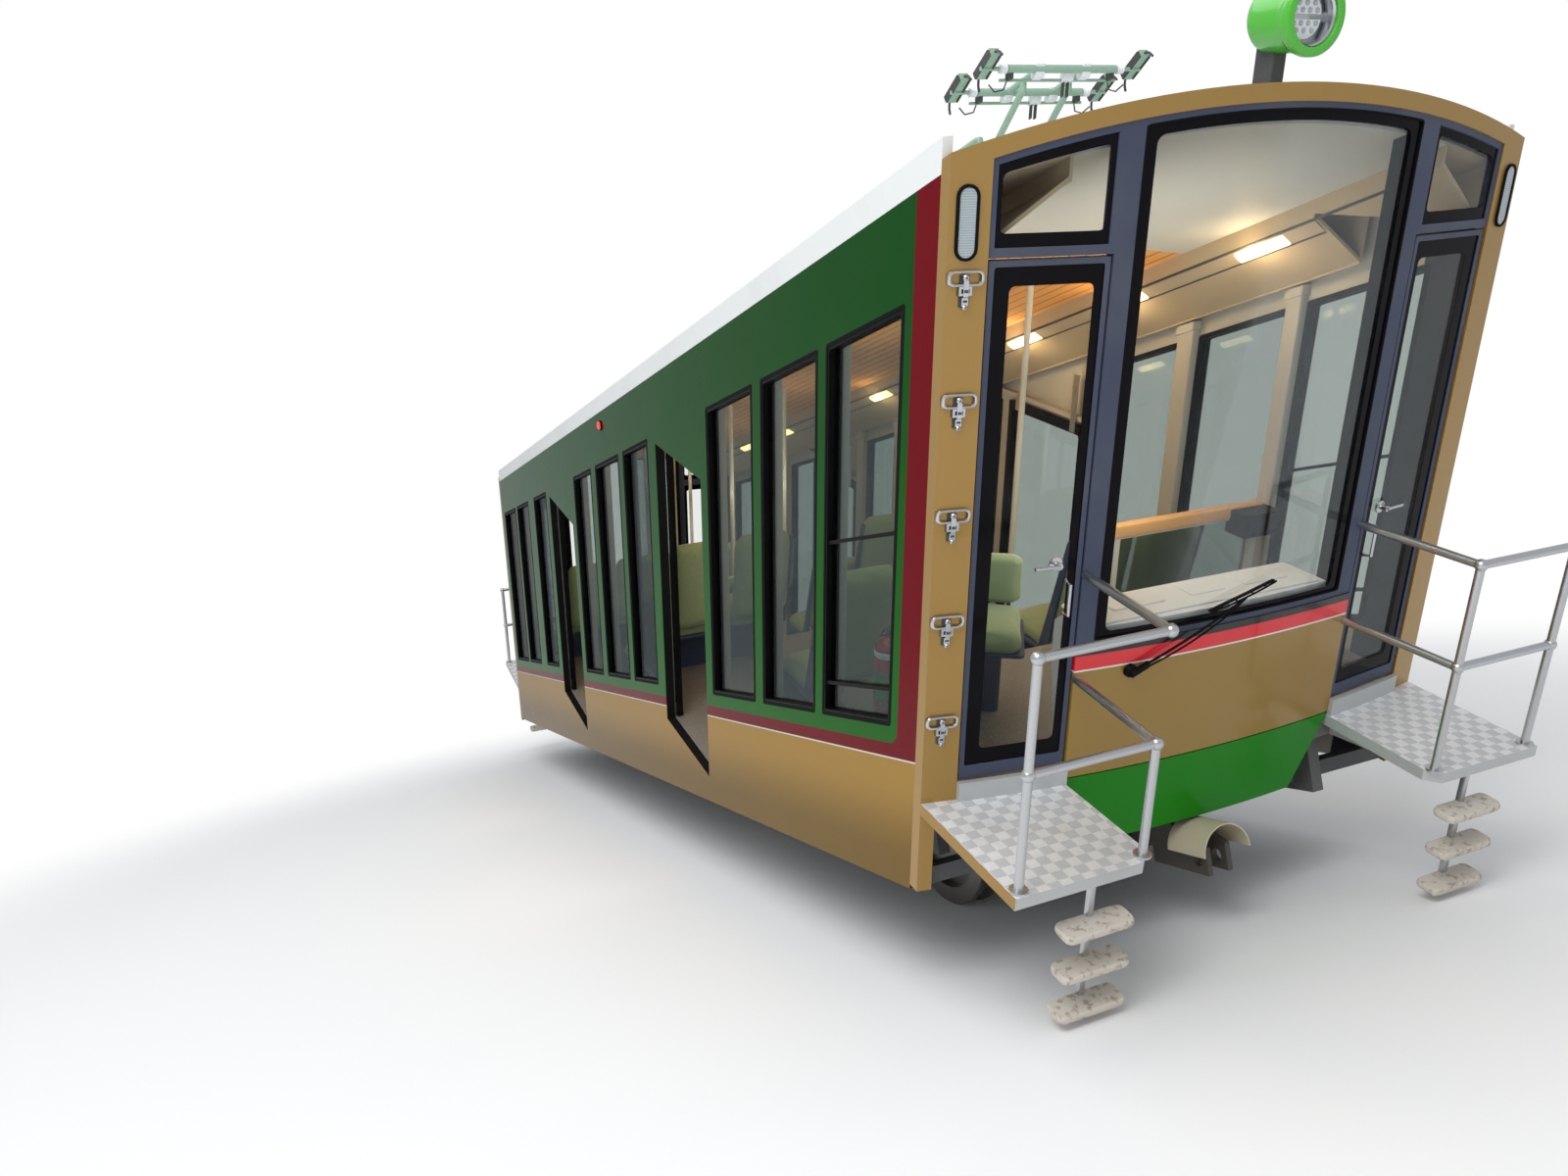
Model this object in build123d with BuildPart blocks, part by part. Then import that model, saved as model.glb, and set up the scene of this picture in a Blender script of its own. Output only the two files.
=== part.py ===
# Funicular car for a steep rope-hauled line, in millimetres.
#
# Frame: +X runs uphill along the rails, +Y is the side away from the platform and +Z is square to the
# rails. The lowest points of the wheels are at z = 0 and x = 0 is midway between the two axles.
# On the line the rails climb at the angle "slope", so the car's own upright leans uphill from +Z by
# that angle: side on, the body is a parallelogram with upright posts.
#
# Words used below:
#   station   distance along the rails from the uphill face, negative inside the car
#   rise      height above the sill line, measured along the car's own upright
#   behind    distance behind the uphill face in the car's own level, which is the floor's direction
#   drop      depth below the uphill sill, measured along the car's own upright
#   out       the way an end of the car faces
import os
from math import atan2, cos, degrees, radians, sin, sqrt, tan

from build123d import *

os.makedirs("parts", exist_ok=True)

# Driving dimensions
slope = 22.1                  # angle of the line, between the rails and the car's floor
body_length = 9350.0          # along the rails, between the two faces
body_width = 2600.0
sill_z = 882.0                # sill line above the floor that the wheels stand on
eave_rise = 2342.0            # top corner of the side walls
crown_rise = 151.0            # roof arch above the eave, square to the walls
face_bow = 131.0              # how far the middle of each end stands out
wall = 60.0                   # whole thickness of a side wall
skirt_drop = 450.0            # lower edge of the side panels below the sill line
axle_spacing = 6250.0
front_to_axle = 1250.0        # uphill face to the uphill axle, along the rails

# Worked out from the driving dimensions
run = cos(radians(slope))
climb = sin(radians(slope))
grade = tan(radians(slope))
half = body_width / 2
front_x = axle_spacing / 2 + front_to_axle
level_length = body_length * run
rails = Vector(1, 0, 0)
level = Vector(run, 0, -climb)
upright = Vector(climb, 0, run)
arch_radius = (half ** 2 + crown_rise ** 2) / (2 * crown_rise)
bow_radius = (half ** 2 + face_bow ** 2) / (2 * face_bow)

# Planes: each end is drawn as seen from outside, the side as seen from the platform
uphill = Plane(origin=(front_x, 0, sill_z), x_dir=(0, 1, 0), z_dir=level)
downhill = Plane(origin=(front_x - body_length, 0, sill_z), x_dir=(0, -1, 0), z_dir=-level)
ends = {"uphill": uphill, "downhill": downhill}
side = Plane(origin=(front_x, 0, sill_z), x_dir=level, z_dir=(0, -1, 0))
sides = {"station": -1, "far": 1}
overrun = 400.0               # rough shapes start this far beyond the faces and are trimmed
start = Plane(origin=uphill.origin + rails * overrun, x_dir=uphill.x_dir, z_dir=uphill.z_dir)

# Roof, walls and windows
roof_thickness = 45.0
gutter_width = 34.0
gutter_height = 68.0
body_inset = 55.0             # roof and walls stop this far behind each face, at the end ring
window_low = 280.0            # rise of the lower and upper edge of the side windows
window_high = 1940.0
window_corner = 35.0
glass = 8.0
# Side windows: station of the uphill edge, station of the downhill edge
windows = [
    (-285, -960),
    (-1050, -1712),
    (-1830, -2520),
    (-3665, -4262),
    (-4385, -5055),
    (-5205, -5795),
    (-6935, -7500),
    (-7800, -8400),
    (-8500, -9150),
]

# Floor: each landing starts behind the uphill face, stops further down and lies at its drop
doorway_behind = 2445.0
doorway_pitch = 3049.0        # from the upper doorway to the lower one, in the car's level
doorway_width = 790.0
doorway_height = 1850.0
doorway_drop = 1275.0
landing_start = 2400.0
landing_length = 1710.0
end_landing = 950.0
foot_landing = 545.0
riser_target = 215.0
floor_thickness = 40.0
lower_drop = doorway_drop + doorway_pitch * grade
foot_drop = body_length * climb
landings = [
    (0.0, end_landing, 0.0),
    (landing_start, landing_start + landing_length, doorway_drop),
    (landing_start + doorway_pitch, landing_start + doorway_pitch + landing_length, lower_drop),
    (level_length - foot_landing, level_length, foot_drop),
]
doorways = {
    "upper": (doorway_behind, doorway_drop),
    "lower": (doorway_behind + doorway_pitch, lower_drop),
}

# End faces
pillar = 142.0                # outer posts of the end ring
arch_band = 60.0
post_inner = 646.0            # grey posts each side of the windscreen
post_outer = 700.0
post_depth = 30.0
door_head = 2013.0
transom_low = 2045.0
frame_edge = 22.0             # grey frame that shows round each pane
frame_front = 6.0
frame_depth = 44.0
screen_low = 571.0
pane_front = 14.0
apron_low = -20.0
apron_high = 545.0
apron_thickness = 25.0
skirt_high = -26.0
skirt_low = -355.0
skirt_thickness = 18.0
skirt_foot = 520.0            # half width of the skirt at its lower edge
wing_high = -170.0
wing_depth = 260.0
headstock_high = -floor_thickness
headstock_low = -160.0
headstock_depth = 112.0

# Decks, handrails and ladders at the ends
deck_top = -40.0
deck_thickness = 50.0
deck_out = 655.0
deck_corner = 55.0
kerb_height = 40.0
kerb_proud = 20.0
rail_height = 892.0
rail_middle = 461.0
rail_radius = 17.0
rail_ball = 25.0
post_edge = 35.0              # rail posts stand this far inside the deck's edges
ladder_inner = 795.0
ladder_width = 300.0
first_tread = 240.0
tread_pitch = 178.0
tread_depth = 110.0
tread_thickness = 34.0
treads = {"uphill": 3, "downhill": 5}
spine_thickness = 12.0

# Doors
door_gap = 8.0
door_low = 45.0
leaf = 40.0
stile = 30.0
bottom_rail = 80.0
knuckle_length = 70.0
knuckle_radius = 7.7
hinge_plate = 24.0
running_gap = 0.3
side_leaf = 36.0
slide_clearance = 12.0
leaf_overlap = 16.0
threshold_clearance = 8.0
track_height = 30.0
track_above = 40.0
roller_radius = 14.0
hanger = 12.0

# Running gear
gauge = 1067.0
tread_radius = 400.0
flange = 22.0
axle_z = tread_radius + flange
axle_radius = 70.0
journal_radius = 45.0
axle_end = 800.0
shoulder = 655.0
wheel_width = 128.0
roller_width = 240.0
rim = 66.0
web = 28.0
hub_radius = 110.0
box_inner = 668.0
box_outer = 815.0
box_half = 112.0
solebar_inner = 690.0
solebar_outer = 750.0
solebar_low = 445.0
solebar_high = 545.0
member_low = 480.0
member_width = 80.0
end_member = 210.0            # from each face to the nearest cross member, along the rails
axle_member = 725.0           # from each axle to the cross members beside it
middle_member = 900.0         # from the car's middle to the cross members beside it
axles = {"uphill": axle_spacing / 2, "downhill": -axle_spacing / 2}
member_places = (
    front_x - end_member,
    axles["uphill"] - axle_member,
    middle_member,
    -middle_member,
    axles["downhill"] + axle_member,
    axles["downhill"] - axle_member,
    front_x - body_length + end_member,
)

knuckle_rises = (door_low + knuckle_length, door_head / 2, door_head - 2 * knuckle_length)


def bow(across):
    """Distance that the bowed face stands out, at a distance across from the middle."""
    return sqrt(bow_radius ** 2 - across ** 2) - (bow_radius - face_bow)


def arch(across, inset=0.0):
    """Rise of the roof arch, or of an arch inset inside it."""
    return sqrt((arch_radius - inset) ** 2 - across ** 2) + eave_rise + crown_rise - arch_radius


def on_side(station, rise):
    """Point of the side plane at a station along the rails and a rise above the sill line."""
    return (station * run, rise + station * climb)


def at_end(end, across, out, rise):
    """Point in space near an end of the car."""
    return end.origin + end.x_dir * across + end.z_dir * out + end.y_dir * rise


def plan_at(end, rise):
    """Plan of an end at a rise: x runs across it and y runs out of it."""
    return Plane(origin=end.origin + end.y_dir * rise, x_dir=end.x_dir, z_dir=-end.y_dir)


def slice_at(end, across):
    """Upright plane square to an end's face: x runs out of the end and y runs up."""
    return Plane(origin=end.origin + end.x_dir * across, x_dir=end.z_dir, z_dir=-end.x_dir)


def draw_closed(points):
    """Draws a closed straight-sided outline as a face of the current sketch."""
    with BuildLine() as outline:
        Polyline(*points, close=True)
    make_face(outline.edges())


def draw_box(left, right, low, high, mode=Mode.ADD):
    """Draws a rectangle from its edges."""
    with Locations(((left + right) / 2, (low + high) / 2)):
        Rectangle(abs(right - left), abs(high - low), mode=mode)


def draw_bow(left, right, front, back, mode=Mode.ADD):
    """Draws the plan of a strip that follows the bowed face, between two distances behind it."""
    middle = (left + right) / 2
    with BuildLine() as outline:
        ThreePointArc(*[(at, bow(at) - front) for at in (left, middle, right)])
        Line((right, bow(right) - front), (right, bow(right) - back))
        ThreePointArc(*[(at, bow(at) - back) for at in (right, middle, left)])
        Line((left, bow(left) - back), (left, bow(left) - front))
    make_face(outline.edges(), mode=mode)


def draw_arched(left, right, low, inset, mode=Mode.ADD):
    """Draws an upright shape whose head follows the roof arch."""
    middle = (left + right) / 2
    with BuildLine() as outline:
        Polyline((left, arch(left, inset)), (left, low), (right, low), (right, arch(right, inset)))
        ThreePointArc(*[(at, arch(at, inset)) for at in (left, middle, right)])
    make_face(outline.edges(), mode=mode)


def trim_to_bow(end, front, back, low=headstock_low - deck_out):
    """Keeps what lies above a rise, between two distances behind an end's bowed face."""
    with BuildSketch(plan_at(end, low)) as strip:
        draw_bow(-half, half, front, back)
    extrude(strip.sketch, amount=eave_rise + overrun - low, dir=end.y_dir, mode=Mode.INTERSECT)


def trim_to_cabin(inset):
    """Keeps what lies between the two bowed faces of the car, each inset."""
    rear = inset - level_length
    low = -foot_drop - 2 * skirt_drop
    with BuildLine() as outline:
        ThreePointArc((-half, -inset), (0, face_bow - inset), (half, -inset))
        Line((half, -inset), (half, rear))
        ThreePointArc((half, rear), (0, rear - face_bow), (-half, rear))
        Line((-half, rear), (-half, -inset))
    with BuildSketch(plan_at(uphill, low)) as plan:
        make_face(outline.edges())
    extrude(plan.sketch, amount=eave_rise + overrun - low, dir=upright, mode=Mode.INTERSECT)


def run_along(mode=Mode.ADD):
    """Extrudes the sketch just drawn down the whole length of the car, along the rails."""
    extrude(amount=body_length + 2 * overrun, dir=-rails, mode=mode)


def end_panel(end, left, right, low, inset, front, back, mode=Mode.ADD):
    """Adds a bowed panel under the roof arch, or under an arch inset inside it."""
    with BuildPart() as panel:
        with BuildSketch(start) as section:
            draw_arched(left, right, -foot_drop, inset)
        extrude(section.sketch, amount=body_length + 2 * overrun, dir=-rails)
        trim_to_bow(end, front, back, low)
    add(panel.part, mode=mode)


def door_corners(end, hand):
    """Front outer corner of an end door's foot, its front inner corner and its hinge line's foot."""
    outer_edge = half - pillar - door_gap
    inner_edge = post_outer + door_gap
    outer = at_end(end, hand * outer_edge, bow(outer_edge) - door_gap, 0)
    lock = at_end(end, hand * inner_edge, bow(inner_edge) - door_gap, 0)
    facing = end.y_dir.cross((lock - outer).normalized()) * hand
    return (outer, lock, outer - facing * leaf)


def tube(first, last, radius, mode=Mode.ADD):
    """Adds a round bar between two points in space."""
    way = last - first
    with BuildSketch(Plane(origin=first, z_dir=way)) as section:
        Circle(radius)
    extrude(section.sketch, amount=way.length, dir=way, mode=mode)


def finish(piece, name):
    """Labels a finished piece and writes it out."""
    piece.label = name
    export_step(piece, "parts/" + name + ".step")


# Roof shell with a gutter rail along each eave
with BuildPart() as roof:
    with BuildSketch(start):
        draw_arched(-half, half, eave_rise - roof_thickness, 0)
        draw_arched(-half, half, 0, roof_thickness, mode=Mode.SUBTRACT)
        for hand in (-1, 1):
            draw_box(hand * half, hand * (half - gutter_width), eave_rise, eave_rise + gutter_height)
    run_along()
    trim_to_cabin(body_inset)
finish(roof.part, "roof")

# Side walls: one panel each from lower edge to roof, its windows and doorways cut, with a door track
for name, hand in sides.items():
    edges = sorted((hand * half, hand * (half - wall)))
    with BuildPart() as side_wall:
        with BuildSketch(start):
            draw_arched(edges[0], edges[1], -skirt_drop, roof_thickness)
        run_along()
        trim_to_cabin(body_inset)
        with BuildSketch(side) as panes:
            for upper_edge, lower_edge in windows:
                draw_closed([
                    on_side(upper_edge, window_low),
                    on_side(upper_edge, window_high),
                    on_side(lower_edge, window_high),
                    on_side(lower_edge, window_low),
                ])
            fillet(panes.vertices(), window_corner)
        extrude(amount=half + wall, both=True, mode=Mode.SUBTRACT)
        with BuildSketch(side):
            for behind, drop in doorways.values():
                draw_box(-behind - doorway_width, -behind, -drop, doorway_height - drop)
        extrude(amount=half + wall, both=True, mode=Mode.SUBTRACT)
        with BuildSketch(side.offset(-hand * (half - wall))):
            for behind, drop in doorways.values():
                track_low = doorway_height - drop + track_above
                draw_box(
                    -behind - 2 * doorway_width - leaf_overlap,
                    -behind + leaf_overlap,
                    track_low,
                    track_low + track_height,
                )
        extrude(amount=hand * (slide_clearance + side_leaf - roller_radius / 2))
    finish(side_wall.part, "side_wall_" + name)

    with BuildPart() as side_glass:
        with BuildSketch(side.offset(-hand * (half - wall / 2))) as panes:
            for upper_edge, lower_edge in windows:
                draw_closed([
                    on_side(upper_edge, window_low),
                    on_side(upper_edge, window_high),
                    on_side(lower_edge, window_high),
                    on_side(lower_edge, window_low),
                ])
            fillet(panes.vertices(), window_corner)
        extrude(amount=glass / 2, both=True)
    finish(side_glass.part, "side_glass_" + name)

# Sliding side doors: frame and pane, hung from two rollers on the wall's track.
# The platform's doors stand open in the picture, slid downhill; the far ones are closed.
for name, hand in sides.items():
    for place, (behind, drop) in doorways.items():
        slid = doorway_width if name == "station" else 0.0
        near = -behind + leaf_overlap - slid
        far_edge = -behind - doorway_width - leaf_overlap - slid
        low = threshold_clearance - drop
        high = doorway_height - drop + leaf_overlap
        inner_face = half - wall - slide_clearance - side_leaf
        with BuildPart() as side_door:
            with BuildSketch(side.offset(-hand * inner_face)) as leaf_face:
                draw_box(far_edge, near, low, high)
                draw_box(
                    far_edge + 2 * stile,
                    near - 2 * stile,
                    low + 3 * stile,
                    high - 2 * stile,
                    mode=Mode.SUBTRACT,
                )
            extrude(amount=-hand * side_leaf)
            with BuildSketch(side.offset(-hand * (inner_face + (side_leaf - glass) / 2))):
                draw_box(far_edge + 2 * stile, near - 2 * stile, low + 3 * stile, high - 2 * stile)
            extrude(amount=-hand * glass)
            wheel_rise = high - leaf_overlap + track_above + track_height + running_gap + roller_radius
            for at in (near - 4 * stile, far_edge + 4 * stile):
                with BuildSketch(side.offset(-hand * inner_face)):
                    draw_box(at - stile, at + stile, high - 2 * stile, wheel_rise + roller_radius / 2)
                extrude(amount=hand * hanger)
                with BuildSketch(side.offset(-hand * inner_face)):
                    with Locations((at, wheel_rise)):
                        Circle(roller_radius)
                extrude(amount=-hand * side_leaf)
        finish(side_door.part, "side_door_" + name + "_" + place)

# Stepped floor: landings joined by equal stairs
treadline = []
for (begin, stop, drop), below in zip(landings, landings[1:] + [None]):
    treadline += [(-begin, -drop), (-stop, -drop)]
    if below:
        risers = round((below[2] - drop) / riser_target)
        riser = (below[2] - drop) / risers
        tread = (below[0] - stop) / (risers - 1)
        for step in range(1, risers):
            treadline += [
                (-stop - (step - 1) * tread, -drop - step * riser),
                (-stop - step * tread, -drop - step * riser),
            ]
treadline[0] = (overrun, treadline[0][1])
treadline[-1] = (treadline[-1][0] - overrun, treadline[-1][1])
underside = [(x + floor_thickness, y - floor_thickness) for x, y in reversed(treadline)]
with BuildPart() as floor:
    with BuildSketch(side):
        draw_closed(treadline + underside)
    extrude(amount=half - wall, both=True)
    trim_to_cabin(body_inset)
finish(floor.part, "floor")

# Ceiling lining under the roof, carried by a fascia and a sloping cove along each side
lining_inset = 100.0
lining = 12.0
lining_half = half - 130.0
cove_inner = half - 440.0
cove_top = eave_rise + crown_rise - 258.0
cove_low = eave_rise + crown_rise - 465.0
cove_slope = (cove_top - cove_low) / (lining_half - cove_inner)
cove_stop = 560.0              # clear of the uphill end doors, which swing in below the cove


def cove_rise(across):
    """Rise of the cove's lower face at a distance from the middle."""
    return cove_top - (across - cove_inner) * cove_slope


with BuildPart() as ceiling:
    with BuildSketch(start):
        draw_arched(-lining_half, lining_half, eave_rise - lining_inset, lining_inset)
        draw_arched(-lining_half, lining_half, 0, lining_inset + lining, mode=Mode.SUBTRACT)
        for hand in (-1, 1):
            edges = sorted((hand * lining_half, hand * (lining_half - lining)))
            draw_arched(edges[0], edges[1], cove_low, roof_thickness)
            edges = sorted((hand * cove_inner, hand * (cove_inner - lining)))
            draw_arched(edges[0], edges[1], cove_top, lining_inset)
            draw_closed([
                (hand * (cove_inner - lining), cove_rise(cove_inner)),
                (hand * cove_inner, cove_rise(cove_inner)),
                (hand * lining_half, cove_rise(lining_half)),
                (hand * lining_half, cove_rise(lining_half) + 1.5 * lining),
                (hand * cove_inner, cove_rise(cove_inner) + 1.5 * lining),
                (hand * (cove_inner - lining), cove_rise(cove_inner) + 1.5 * lining),
            ])
    run_along()
    trim_to_cabin(body_inset)
    with BuildSketch(side):
        draw_box(-cove_stop, overrun, 0, door_head + 15)
    extrude(amount=half, both=True, mode=Mode.SUBTRACT)
finish(ceiling.part, "ceiling")

# Lamp strips along the tops of the coves, one along each side
lamp_across = cove_inner
lamp_width = 70.0
lamp_depth = 24.0
with BuildPart() as cabin_lamps:
    with BuildSketch(start):
        for hand in (-1, 1):
            draw_closed([
                (hand * lamp_across, cove_rise(lamp_across)),
                (hand * (lamp_across + lamp_width), cove_rise(lamp_across + lamp_width)),
                (hand * (lamp_across + lamp_width), cove_rise(lamp_across + lamp_width) - lamp_depth),
                (hand * lamp_across, cove_rise(lamp_across) - lamp_depth),
            ])
    run_along()
    trim_to_cabin(6 * lining_inset)
finish(cabin_lamps.part, "cabin_lamps")

for name, end in ends.items():
    # Outer ring of the end: two posts under one arched band, with legs down to the side panels' foot
    inner = half - pillar
    screen = post_inner - frame_edge
    with BuildPart() as ring:
        end_panel(end, -half, half, headstock_high, 0, 0, body_inset)
        end_panel(end, -inner, inner, headstock_high, arch_band, -overrun, overrun, Mode.SUBTRACT)
        with BuildSketch(plan_at(end, -skirt_drop)):
            for hand in (-1, 1):
                edges = sorted((hand * half, hand * (half - wall)))
                draw_bow(edges[0], edges[1], 0, body_inset)
        extrude(amount=-skirt_drop - headstock_high)
        for hand in (-1, 1):
            pin = end.to_local_coords(door_corners(end, hand)[2])
            with BuildSketch(plan_at(end, 0)) as plate:
                with Locations((hand * (inner + abs(pin.X) + knuckle_radius + running_gap) / 2, pin.Z)):
                    Rectangle(inner - abs(pin.X) - knuckle_radius - running_gap, hinge_plate)
            for rise in knuckle_rises:
                lower = plate.sketch.moved(Location(end.y_dir * (rise - running_gap)))
                extrude(lower, amount=knuckle_length + 2 * running_gap, dir=end.y_dir)
    finish(ring.part, "end_ring_" + name)

    # Grey frame inside the ring: door heads, transom bars, windscreen surround and posts
    with BuildPart() as frame:
        end_panel(end, -inner, inner, apron_high, arch_band, frame_front, frame_front + frame_depth)
        glazed = arch_band + frame_edge
        end_panel(end, -screen, screen, screen_low, glazed, -overrun, overrun, Mode.SUBTRACT)
        for hand in (-1, 1):
            edges = sorted((hand * (post_outer + frame_edge), hand * (inner - frame_edge)))
            end_panel(end, *edges, transom_low, glazed, -overrun, overrun, Mode.SUBTRACT)
        with BuildSketch(end.offset(-overrun)):
            for hand in (-1, 1):
                draw_box(hand * post_outer, hand * inner, apron_high, door_head)
        extrude(amount=2 * overrun, mode=Mode.SUBTRACT)
        with BuildSketch(plan_at(end, headstock_high)):
            for hand in (-1, 1):
                edges = sorted((hand * post_inner, hand * post_outer))
                draw_bow(edges[0], edges[1], apron_thickness, apron_thickness + post_depth)
        extrude(amount=headstock_high - apron_high)
    finish(frame.part, "end_frame_" + name)

    # Windscreen and the two transom panes
    with BuildPart() as end_glass:
        end_panel(end, -screen, screen, screen_low, glazed, pane_front, pane_front + glass)
        for hand in (-1, 1):
            edges = sorted((hand * (post_outer + frame_edge), hand * (inner - frame_edge)))
            end_panel(end, *edges, transom_low, glazed, pane_front, pane_front + glass)
    finish(end_glass.part, "end_glass_" + name)

    # Painted apron below the windscreen
    with BuildPart() as apron:
        with BuildSketch(plan_at(end, apron_low)):
            draw_bow(-post_outer, post_outer, 0, apron_thickness)
        extrude(amount=apron_low - apron_high)
    finish(apron.part, "apron_" + name)

    # Skirt: a tapering front panel with a wing going back at each side
    lean = (post_outer - skirt_foot) / (skirt_high - skirt_low)
    wing_top = post_outer - lean * (skirt_high - wing_high)
    with BuildPart() as skirt:
        with BuildSketch(end.offset(-overrun)):
            draw_closed([
                (-post_outer, skirt_high),
                (post_outer, skirt_high),
                (skirt_foot, skirt_low),
                (-skirt_foot, skirt_low),
            ])
        extrude(amount=2 * overrun)
        trim_to_bow(end, 0, skirt_thickness)
        for hand in (-1, 1):
            with BuildPart() as wing:
                with BuildSketch(end.offset(-overrun)) as edge:
                    draw_closed([
                        (hand * wing_top, wing_high),
                        (hand * skirt_foot, skirt_low),
                        (hand * (skirt_foot - skirt_thickness), skirt_low),
                        (hand * (wing_top - skirt_thickness), wing_high),
                    ])
                extrude(edge.sketch, amount=2 * overrun, dir=end.z_dir)
                trim_to_bow(end, skirt_thickness, wing_depth)
    finish(skirt.part, "skirt_" + name)

    # Decks in front of the end doors, each with its door kerb and two brackets
    with BuildPart() as decks:
        with BuildSketch(plan_at(end, deck_top - deck_thickness)):
            for hand in (-1, 1):
                draw_closed([
                    (hand * half, -body_inset),
                    (hand * half, deck_out),
                    (hand * (post_outer + deck_corner), deck_out),
                    (hand * post_outer, deck_out - deck_corner),
                    (hand * post_outer, -body_inset),
                ])
            draw_bow(-half, half, skirt_thickness, overrun, mode=Mode.SUBTRACT)
            for hand in (-1, 1):
                edges = sorted((hand * half, hand * (half - wall)))
                draw_bow(edges[0], edges[1], 0, overrun, mode=Mode.SUBTRACT)
        extrude(amount=-deck_thickness)
        with BuildSketch(plan_at(end, headstock_high)):
            for hand in (-1, 1):
                edges = sorted((hand * post_outer, hand * inner))
                draw_bow(edges[0], edges[1], -kerb_proud, body_inset)
        extrude(amount=headstock_high)
        with BuildSketch(plan_at(end, 0)):
            for hand in (-1, 1):
                edges = sorted((hand * post_outer, hand * inner))
                draw_bow(edges[0], edges[1], -kerb_proud, 2)
        extrude(amount=-kerb_height)
        for hand in (-1, 1):
            for across in (post_outer + 2 * post_edge, half - 2 * post_edge):
                foot = bow(across - spine_thickness) - skirt_thickness
                with BuildSketch(slice_at(end, hand * across)):
                    draw_closed([
                        (foot, deck_top - deck_thickness),
                        (deck_out - deck_corner, deck_top - deck_thickness),
                        (foot, headstock_low),
                    ])
                extrude(amount=spine_thickness / 2, both=True)
    finish(decks.part, "decks_" + name)

    # Handrails: an inner and a front run on each deck, fixed to the apron and the grey posts
    with BuildPart() as deck_rails:
        for hand in (-1, 1):
            inner_post = hand * (post_outer + post_edge)
            outer_post = hand * (half - post_edge)
            front_out = deck_out - post_edge
            for across in (inner_post, outer_post):
                foot = at_end(end, across, front_out, deck_top)
                tube(foot, foot + end.y_dir * rail_height, rail_radius)
                tube(foot, foot + end.y_dir * rail_radius / 2, 2 * rail_radius)
            for rise, inset in ((deck_top + rail_middle, 0), (deck_top + rail_height, frame_front)):
                corner = at_end(end, inner_post, front_out, rise)
                outer = at_end(end, outer_post, front_out, rise)
                fixing = at_end(end, hand * (post_outer - rail_radius), 0, rise)
                tube(corner, outer, rail_radius)
                for ball in (corner, outer):
                    with Locations(ball):
                        Sphere(rail_ball)
                with BuildPart(mode=Mode.PRIVATE) as fixed_rail:
                    tube(fixing, corner, rail_radius)
                    trim_to_bow(end, -deck_out, inset)
                add(fixed_rail.part)
    finish(deck_rails.part, "deck_rails_" + name)

    # End doors, hinged at the outer posts and opening inwards
    for side_name, hand in (("left", -1), ("right", 1)):
        outer, lock, pin = door_corners(end, hand)
        across_leaf = (lock - outer).normalized()
        width = (lock - outer).length
        facing = end.y_dir.cross(across_leaf) * hand
        flip = -hand
        leaf_plane = Plane(origin=outer, x_dir=across_leaf, z_dir=facing)
        with BuildPart() as end_door:
            with BuildSketch(leaf_plane):
                draw_box(0, width, flip * door_low, flip * (door_head - door_gap))
                draw_box(
                    stile,
                    width - stile,
                    flip * (door_low + bottom_rail),
                    flip * (door_head - door_gap - stile),
                    mode=Mode.SUBTRACT,
                )
            extrude(amount=-leaf)
            with BuildSketch(leaf_plane.offset(-glass)):
                draw_box(
                    stile,
                    width - stile,
                    flip * (door_low + bottom_rail),
                    flip * (door_head - door_gap - stile),
                )
            extrude(amount=-glass)
            for rise in knuckle_rises:
                knuckle = pin + end.y_dir * rise
                tube(knuckle, knuckle + end.y_dir * knuckle_length, knuckle_radius)
        finish(end_door.part, "end_door_" + name + "_" + side_name)

# Ladders under the decks: treads on a central spine, up to the ground under each end
with BuildPart() as deck_ladders:
    for name, end in ends.items():
        for hand in (-1, 1):
            middle = hand * (ladder_inner + ladder_width / 2)
            for number in range(treads[name]):
                top = -first_tread - number * tread_pitch
                with BuildSketch(slice_at(end, middle)):
                    draw_box(
                        deck_out - tread_depth / 2,
                        deck_out + tread_depth / 2,
                        top - tread_thickness,
                        top,
                    )
                extrude(amount=ladder_width / 2, both=True)
            bottom = -first_tread - (treads[name] - 1) * tread_pitch - tread_thickness
            with BuildSketch(slice_at(end, middle)):
                draw_box(
                    deck_out - tread_depth / 2,
                    deck_out - spine_thickness,
                    bottom,
                    deck_top - deck_thickness,
                )
            extrude(amount=spine_thickness, both=True)
finish(deck_ladders.part, "deck_ladders")

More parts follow.
